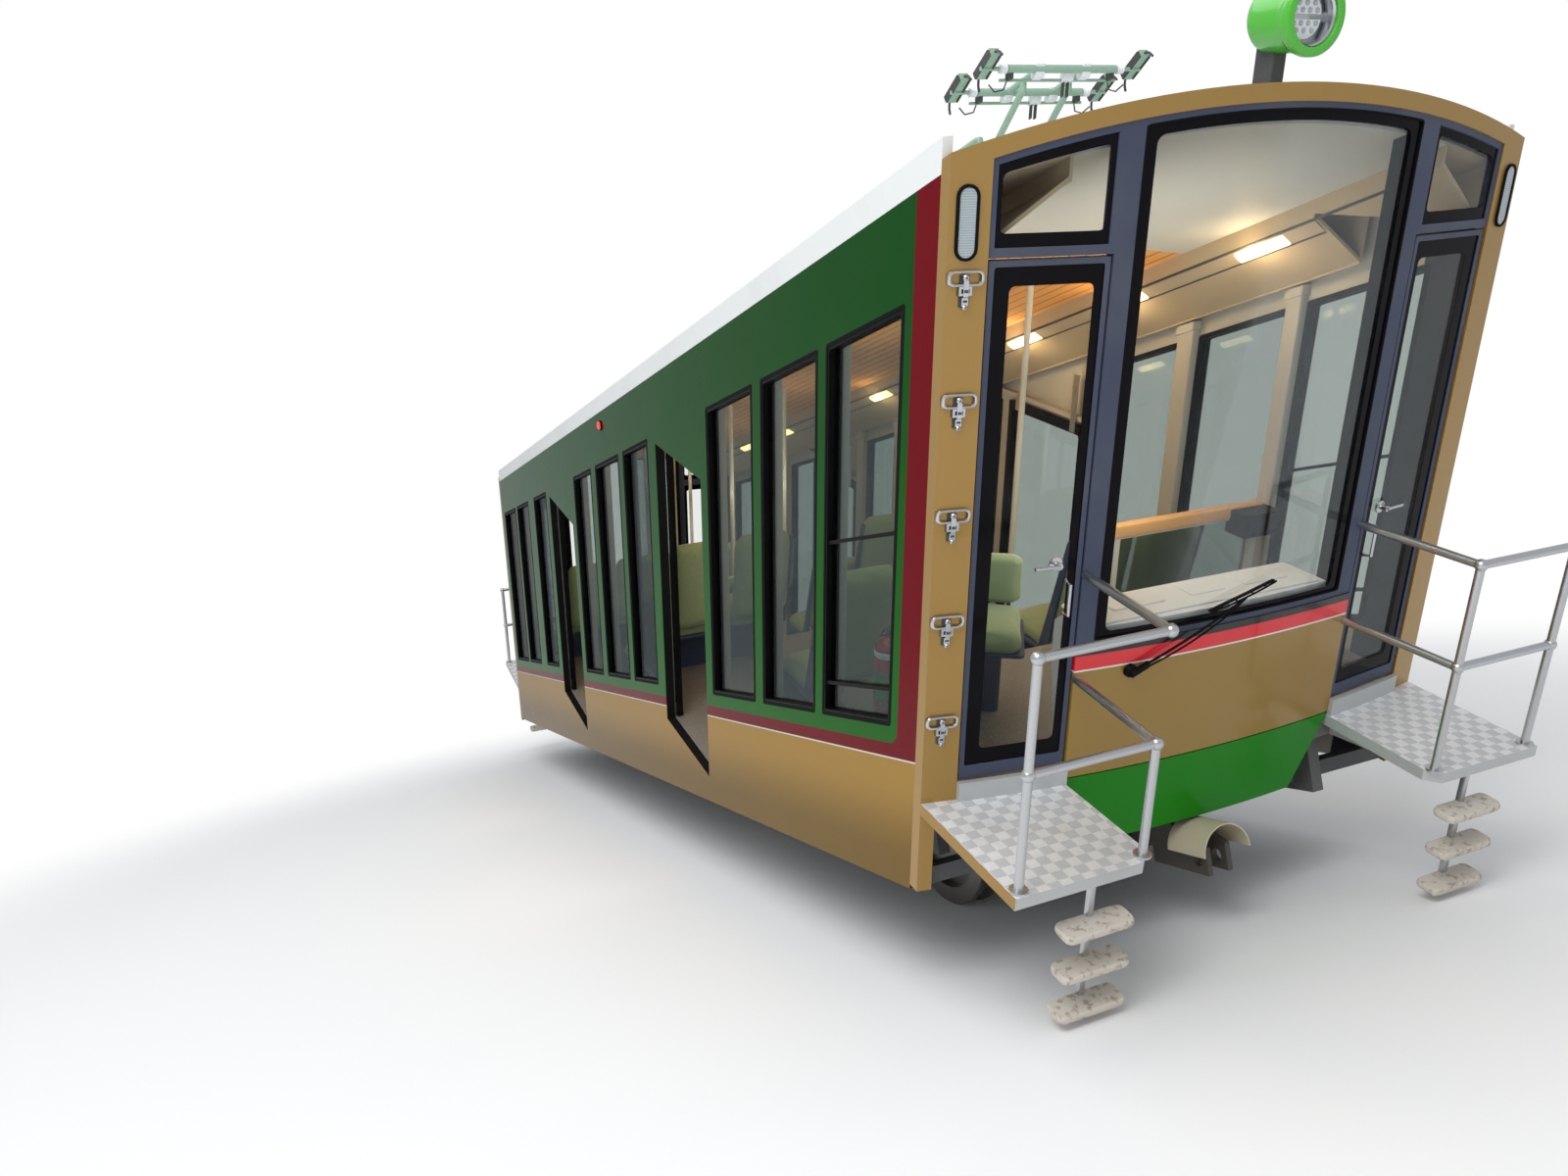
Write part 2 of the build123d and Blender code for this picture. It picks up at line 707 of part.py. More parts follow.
# Headlamp on a short post at each end of the roof
lamp_above = 254.0             # centre of the lamp above the crown of the roof
lamp_rise = eave_rise + crown_rise + lamp_above
lamp_out = 130.0
lamp_ring = 135.0
lamp_barrel = 112.0
lamp_length = 235.0
lamp_back = -105.0
with BuildPart() as headlamps:
    for end, way in ((uphill, grade), (downhill, -grade)):
        with BuildSketch(slice_at(end, 0)):
            draw_closed([
                (lamp_back, eave_rise + crown_rise + way * lamp_back),
                (lamp_back, lamp_rise),
                (lamp_back + 100, lamp_rise),
                (lamp_back + 100, eave_rise + crown_rise + way * (lamp_back + 100)),
            ])
        extrude(amount=30, both=True)
        with BuildSketch(slice_at(end, 0)):
            back = lamp_out - lamp_length
            draw_closed([
                (back, lamp_rise),
                (back, lamp_rise + 0.75 * lamp_barrel),
                (back + 35, lamp_rise + lamp_barrel),
                (lamp_out - 50, lamp_rise + lamp_barrel),
                (lamp_out - 40, lamp_rise + lamp_ring),
                (lamp_out - 10, lamp_rise + lamp_ring),
                (lamp_out, lamp_rise + lamp_ring - 14),
                (lamp_out, lamp_rise + lamp_ring - 34),
                (lamp_out - 34, lamp_rise + lamp_ring - 44),
                (lamp_out - 34, lamp_rise),
            ])
        revolve(axis=Axis(at_end(end, 0, 0, lamp_rise), end.z_dir))
finish(headlamps.part, "headlamps")

# Marker lamps: capsules on the end posts and one round lamp on each side
capsule_across = 1238.0
capsule_height = 235.0
capsule_width = 70.0
capsule_rise = 2128.0
capsule_proud = 16.0
side_lamp = (-4810.0, 2201.0)
with BuildPart() as marker_lamps:
    for end in ends.values():
        with BuildPart(mode=Mode.PRIVATE) as capsules:
            with BuildSketch(end.offset(-overrun)):
                with Locations((-capsule_across, capsule_rise), (capsule_across, capsule_rise)):
                    SlotOverall(capsule_height, capsule_width, rotation=90)
            extrude(amount=2 * overrun)
            trim_to_bow(end, -capsule_proud, 0)
        add(capsules.part)
    for hand in (-1, 1):
        with BuildSketch(side.offset(hand * half)):
            with Locations(on_side(*side_lamp)):
                Circle(capsule_width / 2)
        extrude(amount=hand * 1.5 * capsule_proud)
finish(marker_lamps.part, "marker_lamps")

# Draw latches with oval rings on the left post of each end
latch_across = 1236.0
latch_rises = (315.0, 729.0, 1136.0, 1548.0, 1955.0)
latch_proud = 16.0
with BuildPart() as draw_latches:
    for end in ends.values():
        with BuildPart(mode=Mode.PRIVATE) as latches:
            with BuildSketch(end.offset(-overrun)):
                for rise in latch_rises:
                    with Locations((-latch_across, rise)):
                        SlotOverall(124, 52)
                        SlotOverall(100, 28, mode=Mode.SUBTRACT)
                    draw_closed([
                        (-latch_across - 24, rise - 6),
                        (-latch_across - 24, rise - 62),
                        (-latch_across, rise - 104),
                        (-latch_across + 24, rise - 62),
                        (-latch_across + 24, rise - 6),
                    ])
            extrude(amount=2 * overrun)
            trim_to_bow(end, -latch_proud, 0)
        add(latches.part)
finish(draw_latches.part, "draw_latches")

# Wipers parked across the foot of each windscreen
wiper_boss = (-454.0, 422.0)
wiper_tip = (60.0, 655.0)
blade = 330.0
with BuildPart() as wipers:
    for end in ends.values():
        for front, back, kind in ((-40, 0, "boss"), (-36, -24, "arm"), (-25, 13.7, "blade")):
            with BuildPart(mode=Mode.PRIVATE) as wiper_piece:
                turn = atan2(wiper_tip[1] - wiper_boss[1], wiper_tip[0] - wiper_boss[0])
                reach = sqrt((wiper_tip[0] - wiper_boss[0]) ** 2 + (wiper_tip[1] - wiper_boss[1]) ** 2)
                with BuildSketch(end.offset(-overrun)):
                    if kind == "boss":
                        with Locations(wiper_boss):
                            Circle(28)
                    if kind == "arm":
                        centre = ((wiper_boss[0] + wiper_tip[0]) / 2, (wiper_boss[1] + wiper_tip[1]) / 2)
                        with Locations(Location(centre, degrees(turn))):
                            SlotOverall(reach + 24, 20)
                    if kind == "blade":
                        with Locations(Location(wiper_tip, 14)):
                            Rectangle(blade, 10)
                extrude(amount=2 * overrun)
                trim_to_bow(end, front, back)
            add(wiper_piece.part)
finish(wipers.part, "wipers")

# Underframe: two solebars with upswept ends and axle guards, cross members, headstocks and the
# sawtooth plates that carry the stairs
plate_across = 300.0
plate_low = 510.0
guard_half = 250.0
guard_low = 330.0
guard_high = 640.0
with BuildPart() as underframe:
    neck_up = front_x - 60
    neck_down = front_x - body_length - 60
    for hand in (-1, 1):
        with BuildSketch(Plane.XZ.offset(-hand * solebar_inner)):
            draw_box(neck_down, neck_up, solebar_low, solebar_high)
            draw_box(neck_up - 110, neck_up, solebar_low, 780)
            draw_box(neck_down, neck_down + 90, solebar_low, 780)
            for at in axles.values():
                draw_box(at - guard_half, at + guard_half, guard_low, guard_high)
                draw_box(at - box_half, at + box_half, guard_low, solebar_high, Mode.SUBTRACT)
        extrude(amount=-hand * (solebar_outer - solebar_inner))
    with BuildSketch(Plane.XY.offset(member_low)):
        for at in member_places:
            draw_box(at - member_width / 2, at + member_width / 2, wall - half, half - wall)
    extrude(amount=solebar_high - member_low)
    for name, end in ends.items():
        with BuildSketch(plan_at(end, headstock_low)):
            draw_bow(wall - half, half - wall, skirt_thickness, headstock_depth)
        extrude(amount=headstock_low - headstock_high)
        with BuildSketch(plan_at(end, skirt_low - 25)):
            draw_bow(-430, 430, 2 * skirt_thickness, 2 * skirt_thickness + 12)
            for hand in (-1, 1):
                edges = sorted((hand * 250, hand * 330))
                draw_bow(edges[0], edges[1], 2 * skirt_thickness, headstock_depth)
        extrude(amount=skirt_low - 25 - headstock_low)
    with BuildPart(mode=Mode.PRIVATE) as plates:
        with BuildSketch(side):
            deep = [(x, y - 3 * landing_length) for x, y in reversed(underside)]
            draw_closed(underside + deep)
        extrude(amount=plate_across + spine_thickness, both=True)
        with BuildSketch(side):
            draw_closed(underside + deep)
        extrude(amount=plate_across, both=True, mode=Mode.SUBTRACT)
        trim_to_cabin(body_inset + 2 * headstock_depth)
        with BuildSketch(Plane.XY.offset(plate_low)):
            draw_box(-front_x - half, front_x + half, -half, half)
        extrude(amount=body_width, mode=Mode.INTERSECT)
    add(plates.part)
finish(underframe.part, "underframe")

# Axle boxes, closed at their outer ends, with a rubber block over each
with BuildPart() as axle_boxes:
    for at in axles.values():
        for hand in (-1, 1):
            with BuildSketch(Plane.XZ.offset(-hand * box_inner)):
                draw_box(at - box_half, at + box_half, axle_z - 90, solebar_high)
            extrude(amount=-hand * (box_outer - box_inner))
            with BuildSketch(Plane.XZ.offset(-hand * box_inner)):
                with Locations((at, axle_z)):
                    Circle(journal_radius + running_gap)
            extrude(amount=-hand * (axle_end + 2 - box_inner), mode=Mode.SUBTRACT)
finish(axle_boxes.part, "axle_boxes")

# Wheelsets: a wheel with two flanges on the platform side, a plain broad roller on the far side
grooved = (-gauge / 2 - wheel_width / 2, -gauge / 2 + wheel_width / 2)
plain = (gauge / 2 - roller_width / 2, gauge / 2 + roller_width / 2)
rim_low = tread_radius - rim
for name, at in axles.items():
    with BuildPart() as wheelset:
        with BuildSketch(Plane(origin=(at, 0, axle_z), x_dir=(0, 1, 0), z_dir=(1, 0, 0))):
            draw_box(-axle_end, axle_end, 0, journal_radius)
            draw_box(-shoulder, shoulder, 0, axle_radius)
            for low, high in (grooved, plain):
                draw_box(low, high, 0, hub_radius)
            for middle in (-gauge / 2, gauge / 2):
                draw_box(middle - web / 2, middle + web / 2, 0, rim_low + 1)
            low, high = grooved
            draw_closed([
                (low, rim_low),
                (low, axle_z - 6),
                (low + 6, axle_z),
                (low + 20, axle_z),
                (low + 30, tread_radius),
                (high - 30, tread_radius),
                (high - 20, axle_z),
                (high - 6, axle_z),
                (high, axle_z - 6),
                (high, rim_low),
            ])
            low, high = plain
            draw_closed([
                (low, rim_low),
                (low, tread_radius - 8),
                (low + 8, tread_radius),
                (high - 8, tread_radius),
                (high, tread_radius - 8),
                (high, rim_low),
            ])
        revolve(axis=Axis((at, 0, axle_z), (0, 1, 0)))
    finish(wheelset.part, "wheelset_" + name)

# Draw gear: rope clevis under the uphill end, towing eye under the downhill end
clevis_x = front_x + 20
clevis_z = 330.0
clevis_bore = 26.0
eye_x = front_x - body_length - 40
with BuildPart() as draw_gear:
    for hand in (-1, 1):
        with BuildSketch(Plane.XZ.offset(-hand * 40)):
            draw_closed([
                (member_places[0] - 60, member_low),
                (member_places[0] + 40, member_low),
                (clevis_x + 60, clevis_z + 60),
                (clevis_x + 60, clevis_z - 60),
                (member_places[0] - 60, clevis_z - 60),
            ])
            with Locations((clevis_x, clevis_z)):
                Circle(clevis_bore, mode=Mode.SUBTRACT)
        extrude(amount=-hand * 24)
    with BuildSketch(Plane.XZ):
        draw_box(member_places[0] - 60, member_places[0] + 40, clevis_z - 60, member_low)
    extrude(amount=40, both=True)
    with BuildSketch(Plane.XZ):
        draw_closed([
            (member_places[-1] - 40, member_low),
            (member_places[-1] + 40, member_low),
            (member_places[-1] + 40, clevis_z),
            (eye_x - 60, clevis_z - 50),
            (eye_x - 60, clevis_z + 50),
        ])
        with Locations((eye_x, clevis_z)):
            Circle(clevis_bore, mode=Mode.SUBTRACT)
    extrude(amount=20, both=True)
finish(draw_gear.part, "draw_gear")

# Rounded cover over the rope clevis
cover_radius = 122.0
with BuildPart() as rope_cover:
    with BuildSketch(Plane(origin=(clevis_x - 110, 0, clevis_z + 40), x_dir=(0, 1, 0), z_dir=(1, 0, 0))):
        Circle(cover_radius)
        Circle(cover_radius - 6, mode=Mode.SUBTRACT)
        draw_box(-cover_radius, cover_radius, -cover_radius, 0, Mode.SUBTRACT)
    extrude(amount=230)
    with BuildSketch(Plane.XY.offset(clevis_z + 40)):
        for hand in (-1, 1):
            draw_box(clevis_x - 110, clevis_x - 80, hand * 64, hand * cover_radius)
    extrude(amount=6)
finish(rope_cover.part, "rope_cover")

# Rail brake: jaws each side of the platform rail under the car's middle
brake_x = 900.0
with BuildPart() as rail_brake:
    with BuildSketch(Plane.XY.offset(160)):
        draw_box(brake_x - 330, brake_x + 330, -gauge / 2 - 120, -gauge / 2 + 120)
    extrude(amount=member_low - 160)
    with BuildSketch(Plane.XY.offset(60)):
        for hand in (-1, 1):
            draw_box(
                brake_x - 240, brake_x + 240, -gauge / 2 + hand * 42, -gauge / 2 + hand * 90
            )
    extrude(amount=100)
finish(rail_brake.part, "rail_brake")

# Closed equipment box under the floor
with BuildPart() as equipment_box:
    with BuildSketch(Plane.XY.offset(170)):
        draw_box(-1500, -500, 150, 650)
    extrude(amount=member_low - 170)
    chamfer(equipment_box.edges().group_by(Axis.Z)[0], 20)
finish(equipment_box.part, "equipment_box")

# Seats: rows facing downhill; each row has its front behind the uphill face and its tread's drop
seat_depth = 430.0
seat_high = 430.0
cushion = 90.0
back_high = 1080.0
back_thick = 75.0
aisle_half = 250.0
seat_outer = half - 150.0


def tread_place(landing, step):
    """Front edge and drop of a step below one of the landings."""
    _, stop, drop = landings[landing]
    begin_below, _, drop_below = landings[landing + 1]
    risers = round((drop_below - drop) / riser_target)
    tread = (begin_below - stop) / (risers - 1)
    return (stop + step * tread, drop + step * (drop_below - drop) / risers)


# Seat rows: place of the front edge and drop of the tread
rows = [
    tread_place(0, 3),
    (landings[1][1], landings[1][2]),
    tread_place(1, 3),
    (landings[2][1], landings[2][2]),
    tread_place(2, 2),
]
with BuildPart() as seats:
    for place, drop in rows:
        front = -place + 20
        for hand in (-1, 1):
            edges = sorted((hand * aisle_half, hand * seat_outer))
            with BuildSketch(side.offset(-(edges[0] + edges[1]) / 2)) as profile:
                draw_closed([
                    (front, seat_high - drop),
                    (front, seat_high - cushion - drop),
                    (front + 50, seat_high - cushion - drop),
                    (front + 50, -drop),
                    (front + 200, -drop),
                    (front + 200, seat_high - cushion - drop),
                    (front + seat_depth, seat_high - cushion - drop),
                    (front + seat_depth + 90, back_high - drop),
                    (front + seat_depth + 90 - back_thick, back_high - drop),
                    (front + seat_depth - back_thick, seat_high - drop),
                ])
            extrude(amount=(edges[1] - edges[0]) / 2, both=True)
finish(seats.part, "seats")

# Attendant's low seat by the platform-side end door, turned towards that door
stool_behind = 568.0
stool_across = half - 597.0
stool_depth = 420.0
stool_high = 415.0
stool_back = 650.0
stool_turn = -33.0
with BuildPart() as attendant_seat:
    front = -stool_behind + stool_depth / 2
    with BuildSketch(side.offset(stool_across)):
        draw_closed([
            (front, stool_high),
            (front, stool_high - cushion),
            (front - 130, stool_high - cushion),
            (front - 130, 0),
            (front - 290, 0),
            (front - 290, stool_high - cushion),
            (front - stool_depth, stool_high - cushion),
            (front - stool_depth - 20, stool_back),
            (front - stool_depth - 20 + back_thick, stool_back),
            (front - stool_depth + back_thick, stool_high),
        ])
    extrude(amount=200, both=True)
stool_foot = side.origin - level * stool_behind - Vector(0, stool_across, 0)
turned_seat = attendant_seat.part.rotate(Axis(stool_foot, upright), stool_turn)
finish(turned_seat, "attendant_seat")

# Partition behind the uphill stand: posts and rail, with a glass screen
screen_behind = end_landing - 30
screen_high = 585.0
screen_left = 240.0
screen_right = half - 150.0
with BuildPart() as partition:
    with BuildSketch(Plane(origin=side.origin - level * screen_behind, x_dir=(0, 1, 0), z_dir=level)):
        draw_box(screen_left, screen_right, 0, screen_high)
        draw_box(screen_left + 45, screen_right - 45, 0, screen_high - 70, Mode.SUBTRACT)
        draw_box(screen_left + 45, screen_right - 45, 60, 110)
    extrude(amount=20, both=True)
finish(partition.part, "partition")
with BuildPart() as partition_glass:
    with BuildSketch(Plane(origin=side.origin - level * screen_behind, x_dir=(0, 1, 0), z_dir=level)):
        draw_box(screen_left + 45, screen_right - 45, 110, screen_high - 70)
    extrude(amount=glass / 2, both=True)
finish(partition_glass.part, "partition_glass")

# Desks under the windscreens
desk_half = 600.0
desk_high = 600.0
with BuildPart() as desks:
    for end in ends.values():
        with BuildPart(mode=Mode.PRIVATE) as desk:
            with BuildSketch(slice_at(end, 0)):
                draw_closed([
                    (face_bow, 0),
                    (face_bow, desk_high),
                    (-120, desk_high),
                    (-190, desk_high - 60),
                    (-190, desk_high - 200),
                    (-130, 0),
                ])
            extrude(amount=desk_half, both=True)
            trim_to_bow(end, apron_thickness + post_depth, overrun)
        add(desk.part)
finish(desks.part, "desks")

# Grab poles from the treads to the ceiling at the aisle side of the rows
pole_radius = 16.0
with BuildPart() as grab_poles:
    for place, drop in rows:
        for hand in (-1, 1):
            foot = side.origin - level * (place - 120) - upright * drop
            foot += Vector(0, hand * (aisle_half - 2 * pole_radius), 0)
            tube(foot, foot + upright * eave_rise * 1.5, pole_radius)
    with BuildSketch(start):
        draw_arched(-half, half, -3 * skirt_drop, lining_inset + lining)
    run_along(mode=Mode.INTERSECT)
finish(grab_poles.part, "grab_poles")

# Fire extinguisher by the first window
with BuildPart() as extinguisher:
    foot = side.origin - level * 620 + Vector(0, -1120, 0)
    with BuildSketch(Plane(origin=foot, x_dir=(0, 1, 0), z_dir=level)):
        draw_closed([(0, 0), (55, 0), (62, 12), (62, 330), (48, 372), (20, 388), (20, 430), (0, 430)])
    revolve(axis=Axis(foot, upright))
finish(extinguisher.part, "extinguisher")

# Current collector on the roof: fixed base with hinge ears, and a swinging frame with four shoes
hinge_station = -2120.0
hinge_above = 120.0
head_above = 624.0
bar_stations = (-1370.0, -1620.0)
bar_half = 280.0
shoe_across = 385.0
ear_across = 150.0
arm_across = 120.0
crown = eave_rise + crown_rise


def on_roof(station, above, across=0.0):
    """Point at a station along the rails and a rise above the roof's crown."""
    x, y = on_side(station, crown + above)
    return side.origin + level * x + upright * y + Vector(0, across, 0)


with BuildPart() as collector_base:
    with BuildSketch(side):
        draw_closed([
            on_side(hinge_station - 160, crown - 30),
            on_side(hinge_station - 160, crown + 40),
            on_side(hinge_station + 260, crown + 40),
            on_side(hinge_station + 260, crown - 30),
        ])
    extrude(amount=240, both=True)
    with BuildSketch(start):
        draw_arched(-half, half, 0, 0)
    run_along(mode=Mode.SUBTRACT)
    for hand in (-1, 1):
        with BuildSketch(side.offset(-hand * ear_across)):
            draw_closed([
                on_side(hinge_station - 110, crown + 40),
                on_side(hinge_station + 110, crown + 40),
                on_side(hinge_station + 30, crown + hinge_above + 30),
                on_side(hinge_station - 30, crown + hinge_above + 30),
            ])
        extrude(amount=-hand * 16)
    tube(
        on_roof(hinge_station, hinge_above, -ear_across - 24),
        on_roof(hinge_station, hinge_above, ear_across + 24),
        14,
    )
finish(collector_base.part, "collector_base")

with BuildPart() as collector_arm:
    along = on_roof(sum(bar_stations) / 2, head_above - 40) - on_roof(hinge_station, hinge_above)
    for hand in (-1, 1):
        hinge = on_roof(hinge_station, hinge_above, hand * arm_across)
        head = hinge + along
        middle = on_roof(sum(bar_stations) / 2, head_above, hand * arm_across)
        tube(hinge, head, 15)
        tube(hinge - Vector(0, 20, 0), hinge + Vector(0, 20, 0), 24)
        tube(hinge - Vector(0, 21, 0), hinge + Vector(0, 21, 0), 14 + running_gap, Mode.SUBTRACT)
        tube(
            on_roof(bar_stations[0], head_above, hand * arm_across),
            on_roof(bar_stations[1], head_above, hand * arm_across),
            14,
        )
        tube(head - Vector(0, 0, 15), middle, 15)
    for station in bar_stations:
        tube(on_roof(station, head_above, -bar_half), on_roof(station, head_above, bar_half), 17)
        for hand in (-1, 1):
            tube(
                on_roof(station, head_above, hand * bar_half),
                on_roof(station, head_above, hand * (shoe_across + 30)),
                9,
            )
            shoe = Plane(
                origin=on_roof(station, head_above + 18, hand * shoe_across),
                x_dir=(1, 0, 0.35),
                z_dir=(-0.35, 0, 1),
            )
            with BuildSketch(shoe):
                Rectangle(150, 46)
            extrude(amount=14, both=True)
finish(collector_arm.part, "collector_arm")
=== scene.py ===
# %% [markdown]
# # Dressing a funicular car
#
# The car's frame comes from CAD with every rigid part at its true size. This lesson gives it its looks:
# paint schemes that follow the slanted body, glass with black borders, chequered decks, cushions and
# lamps. New pieces are surfaces worked out with numpy, and every finish is a small set of shader nodes
# written as Python expressions.

# %% The frame and the car's own measurements
import math

import bmesh
import bpy
import numpy as np
from mathutils import Matrix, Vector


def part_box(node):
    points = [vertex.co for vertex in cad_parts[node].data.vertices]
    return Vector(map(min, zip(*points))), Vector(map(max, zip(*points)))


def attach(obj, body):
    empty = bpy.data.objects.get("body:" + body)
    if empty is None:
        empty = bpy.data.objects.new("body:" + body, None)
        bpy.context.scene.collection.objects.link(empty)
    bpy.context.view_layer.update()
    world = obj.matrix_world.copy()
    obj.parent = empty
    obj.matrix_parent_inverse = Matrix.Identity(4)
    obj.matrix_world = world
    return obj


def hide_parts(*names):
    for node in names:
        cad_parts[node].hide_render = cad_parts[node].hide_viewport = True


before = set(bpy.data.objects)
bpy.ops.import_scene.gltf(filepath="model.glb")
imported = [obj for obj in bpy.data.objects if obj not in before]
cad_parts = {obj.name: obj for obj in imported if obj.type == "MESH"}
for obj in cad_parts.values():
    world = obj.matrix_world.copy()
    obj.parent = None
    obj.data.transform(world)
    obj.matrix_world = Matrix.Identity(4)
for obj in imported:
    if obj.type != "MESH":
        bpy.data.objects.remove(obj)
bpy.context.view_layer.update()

slope = math.radians(22.1)          # angle between the rails and the car's floor
run, climb, grade = math.cos(slope), math.sin(slope), math.tan(slope)
half = 1.3                          # half the body's width
length = 9.35                       # along the rails, between the two faces
sill = 0.882                        # height of the sill line above the floor the wheels stand on
front = 4.375                       # where the uphill face meets the sill line
wall = 0.06
eave, crown_rise, face_bow = 2.342, 0.151, 0.131
arch_radius = (half ** 2 + crown_rise ** 2) / (2 * crown_rise)
bow_radius = (half ** 2 + face_bow ** 2) / (2 * face_bow)
crown = eave + crown_rise
ends = {"uphill": 1, "downhill": -1}
flanks = {"station": -1, "far": 1}


# %% [markdown]
# ## Places on the slanted body
#
# The rails run along X, but the car's floor and its upright posts are turned by the slope. Four small
# functions turn the car's own measurements into points, so that each later piece is drawn as on the
# real car: across and out at an end, station and rise along a flank.

# %% Points on the ends, the flanks and the level floor
def bow(across):
    """How far the bowed face stands out: a circle through both edges and the middle."""
    return np.sqrt(bow_radius ** 2 - np.square(across)) - (bow_radius - face_bow)


def arch(across, inset=0.0):
    """Rise of the roof's circular arch, or of one inset inside it."""
    return np.sqrt((arch_radius - inset) ** 2 - np.square(across)) + crown - arch_radius


def point(x, y, z):
    """Points from three numbers or arrays of one size."""
    return np.stack(np.broadcast_arrays(np.asarray(x, float), y, z), axis=-1)


def on_end(end, across, out, rise):
    """Point at an end: out is measured level, rise along the car's upright."""
    foot = front if end > 0 else front - length
    return point(
        foot + end * np.multiply(out, run) + np.multiply(rise, climb),
        np.multiply(end, across),
        sill - end * np.multiply(out, climb) + np.multiply(rise, run),
    )


def on_flank(station, rise, across):
    """Point at a station along the rails and a rise above the sill line."""
    return point(front + np.add(station, np.multiply(rise, climb)), across, sill + np.multiply(rise, run))


def in_level(along, rise, across):
    """Point in the car's level frame, from the foot of the uphill face."""
    return point(
        front + np.multiply(along, run) + np.multiply(rise, climb),
        across,
        sill - np.multiply(along, climb) + np.multiply(rise, run),
    )


def bowed(end):
    """Placing of a drawing on an end's bowed face: across, rise and depth behind the face."""
    return lambda across, rise, depth: on_end(end, across, bow(across) - depth, rise)


def flat_side(hand):
    """Placing of a drawing on a flank: level distance, height and depth behind the panel."""
    return lambda along, rise, depth: in_level(along, rise, hand * (half - np.asarray(depth, float)))


def crest(end, inset):
    """Top edge of a pane on a bowed face, below the roof that runs along the rails."""
    return lambda across: arch(across, inset) + end * bow(across) * grade


directions = {
    "level": np.array((run, 0.0, -climb)),
    "upright": np.array((climb, 0.0, run)),
    "rails": np.array((1.0, 0.0, 0.0)),
    "across": np.array((0.0, 1.0, 0.0)),
}
print("ring corner", on_end(1, -half, 0.0, eave).round(3))


# %% [markdown]
# ## Shapes as arrays
#
# A tube, a frame and a plate are all one thing: a closed outline repeated along a path. `skin` joins
# the rows of such a grid with quads and closes its ends, and the other helpers only lay out the rows.

# %% Shapes and the pieces made from them
class Shape:
    """Points, the quads between them, and many-sided faces that close their ends."""

    def __init__(self, points, quads, caps=()):
        self.points = np.asarray(points, float).reshape(-1, 3)
        self.quads = np.asarray(quads, int).reshape(-1, 4)
        self.caps = [np.asarray(cap, int) for cap in caps]

    def __add__(self, other):
        shift = len(self.points)
        return Shape(
            np.vstack((self.points, other.points)),
            np.vstack((self.quads, other.quads + shift)),
            self.caps + [cap + shift for cap in other.caps],
        )

    def __radd__(self, other):
        return self


def skin(rows, wrap=False, around=True):
    """Quads between the rows of a grid: each point, its neighbour and the two in the next row."""
    count, size = rows.shape[:2]
    index = np.arange(count * size).reshape(count, size)
    beside = np.roll(index, -1, axis=1)
    quads = np.stack((index, beside, np.roll(beside, -1, axis=0), np.roll(index, -1, axis=0)), axis=-1)
    quads = quads[: count - (not wrap), : size - (not around)]
    caps = () if wrap or not around else (index[0], index[-1])
    return Shape(rows, quads, caps)


def tube(path, radius, sides=12):
    """A circle carried along a path, square to the path's own direction at each point."""
    path = np.asarray(path, float)
    ahead = np.gradient(path, axis=0)
    ahead /= np.linalg.norm(ahead, axis=1, keepdims=True)
    spare = np.eye(3)[np.argmin(np.abs(ahead).max(axis=0))]
    right = np.cross(ahead, spare)
    right /= np.linalg.norm(right, axis=1, keepdims=True)
    over = np.cross(right, ahead)
    turn = np.linspace(0, 2 * np.pi, sides, endpoint=False)[None, :, None]
    radius = np.broadcast_to(np.asarray(radius, float), len(path))[:, None, None]
    ring = np.cos(turn) * right[:, None] + np.sin(turn) * over[:, None]
    return skin(path[:, None] + radius * ring)


def turned(profile, origin, axis, sides=24):
    """A profile of radii and distances turned about an axis through the origin."""
    profile = np.asarray(profile, float)
    axis = np.asarray(axis, float) / np.linalg.norm(axis)
    spare = np.eye(3)[np.argmin(np.abs(axis))]
    right = np.cross(axis, spare)
    right /= np.linalg.norm(right)
    over = np.cross(axis, right)
    turn = np.linspace(0, 2 * np.pi, sides, endpoint=False)[None, :, None]
    ring = np.cos(turn) * right + np.sin(turn) * over
    return skin(np.asarray(origin, float) + profile[:, :1, None] * ring + profile[:, 1:, None] * axis)


def slab(front_loop, back_loop):
    """A plate between two loops of as many points."""
    return skin(np.stack((front_loop, back_loop)))


def plate_on(place, loop, near, deep):
    """A plate that follows a placing: one loop laid at two depths."""
    return slab(place(loop[:, 0], loop[:, 1], near), place(loop[:, 0], loop[:, 1], deep))


def ring_of(outer, inner, place, near, deep):
    """A frame between two loops, from one depth to another, closed on itself both ways."""
    corners = ((outer, near), (inner, near), (inner, deep), (outer, deep))
    return skin(np.stack([place(loop[:, 0], loop[:, 1], depth) for loop, depth in corners]), wrap=True)


def panel(across, low, high, place, near, deep):
    """A curved panel: at each distance across, a four-cornered section from low to high."""
    across = np.asarray(across, float)
    low, high = (np.broadcast_to(edge, across.shape) for edge in (low, high))
    corners = ((low, near), (high, near), (high, deep), (low, deep))
    return skin(np.stack([place(across, rise, depth) for rise, depth in corners], axis=1))


def bar(origin, first, second, third, corner=0.003):
    """A block from its middle and three half-edges, its long edges rounded by a small radius."""
    first, second, third = (np.asarray(way, float) for way in (first, second, third))
    loop = rounded(np.array(((-1, -1), (1, -1), (1, 1), (-1, 1)), float), (
        corner / np.linalg.norm(first), corner / np.linalg.norm(second)))
    face = np.asarray(origin, float) + loop[:, :1] * first + loop[:, 1:] * second
    return slab(face - third, face + third)


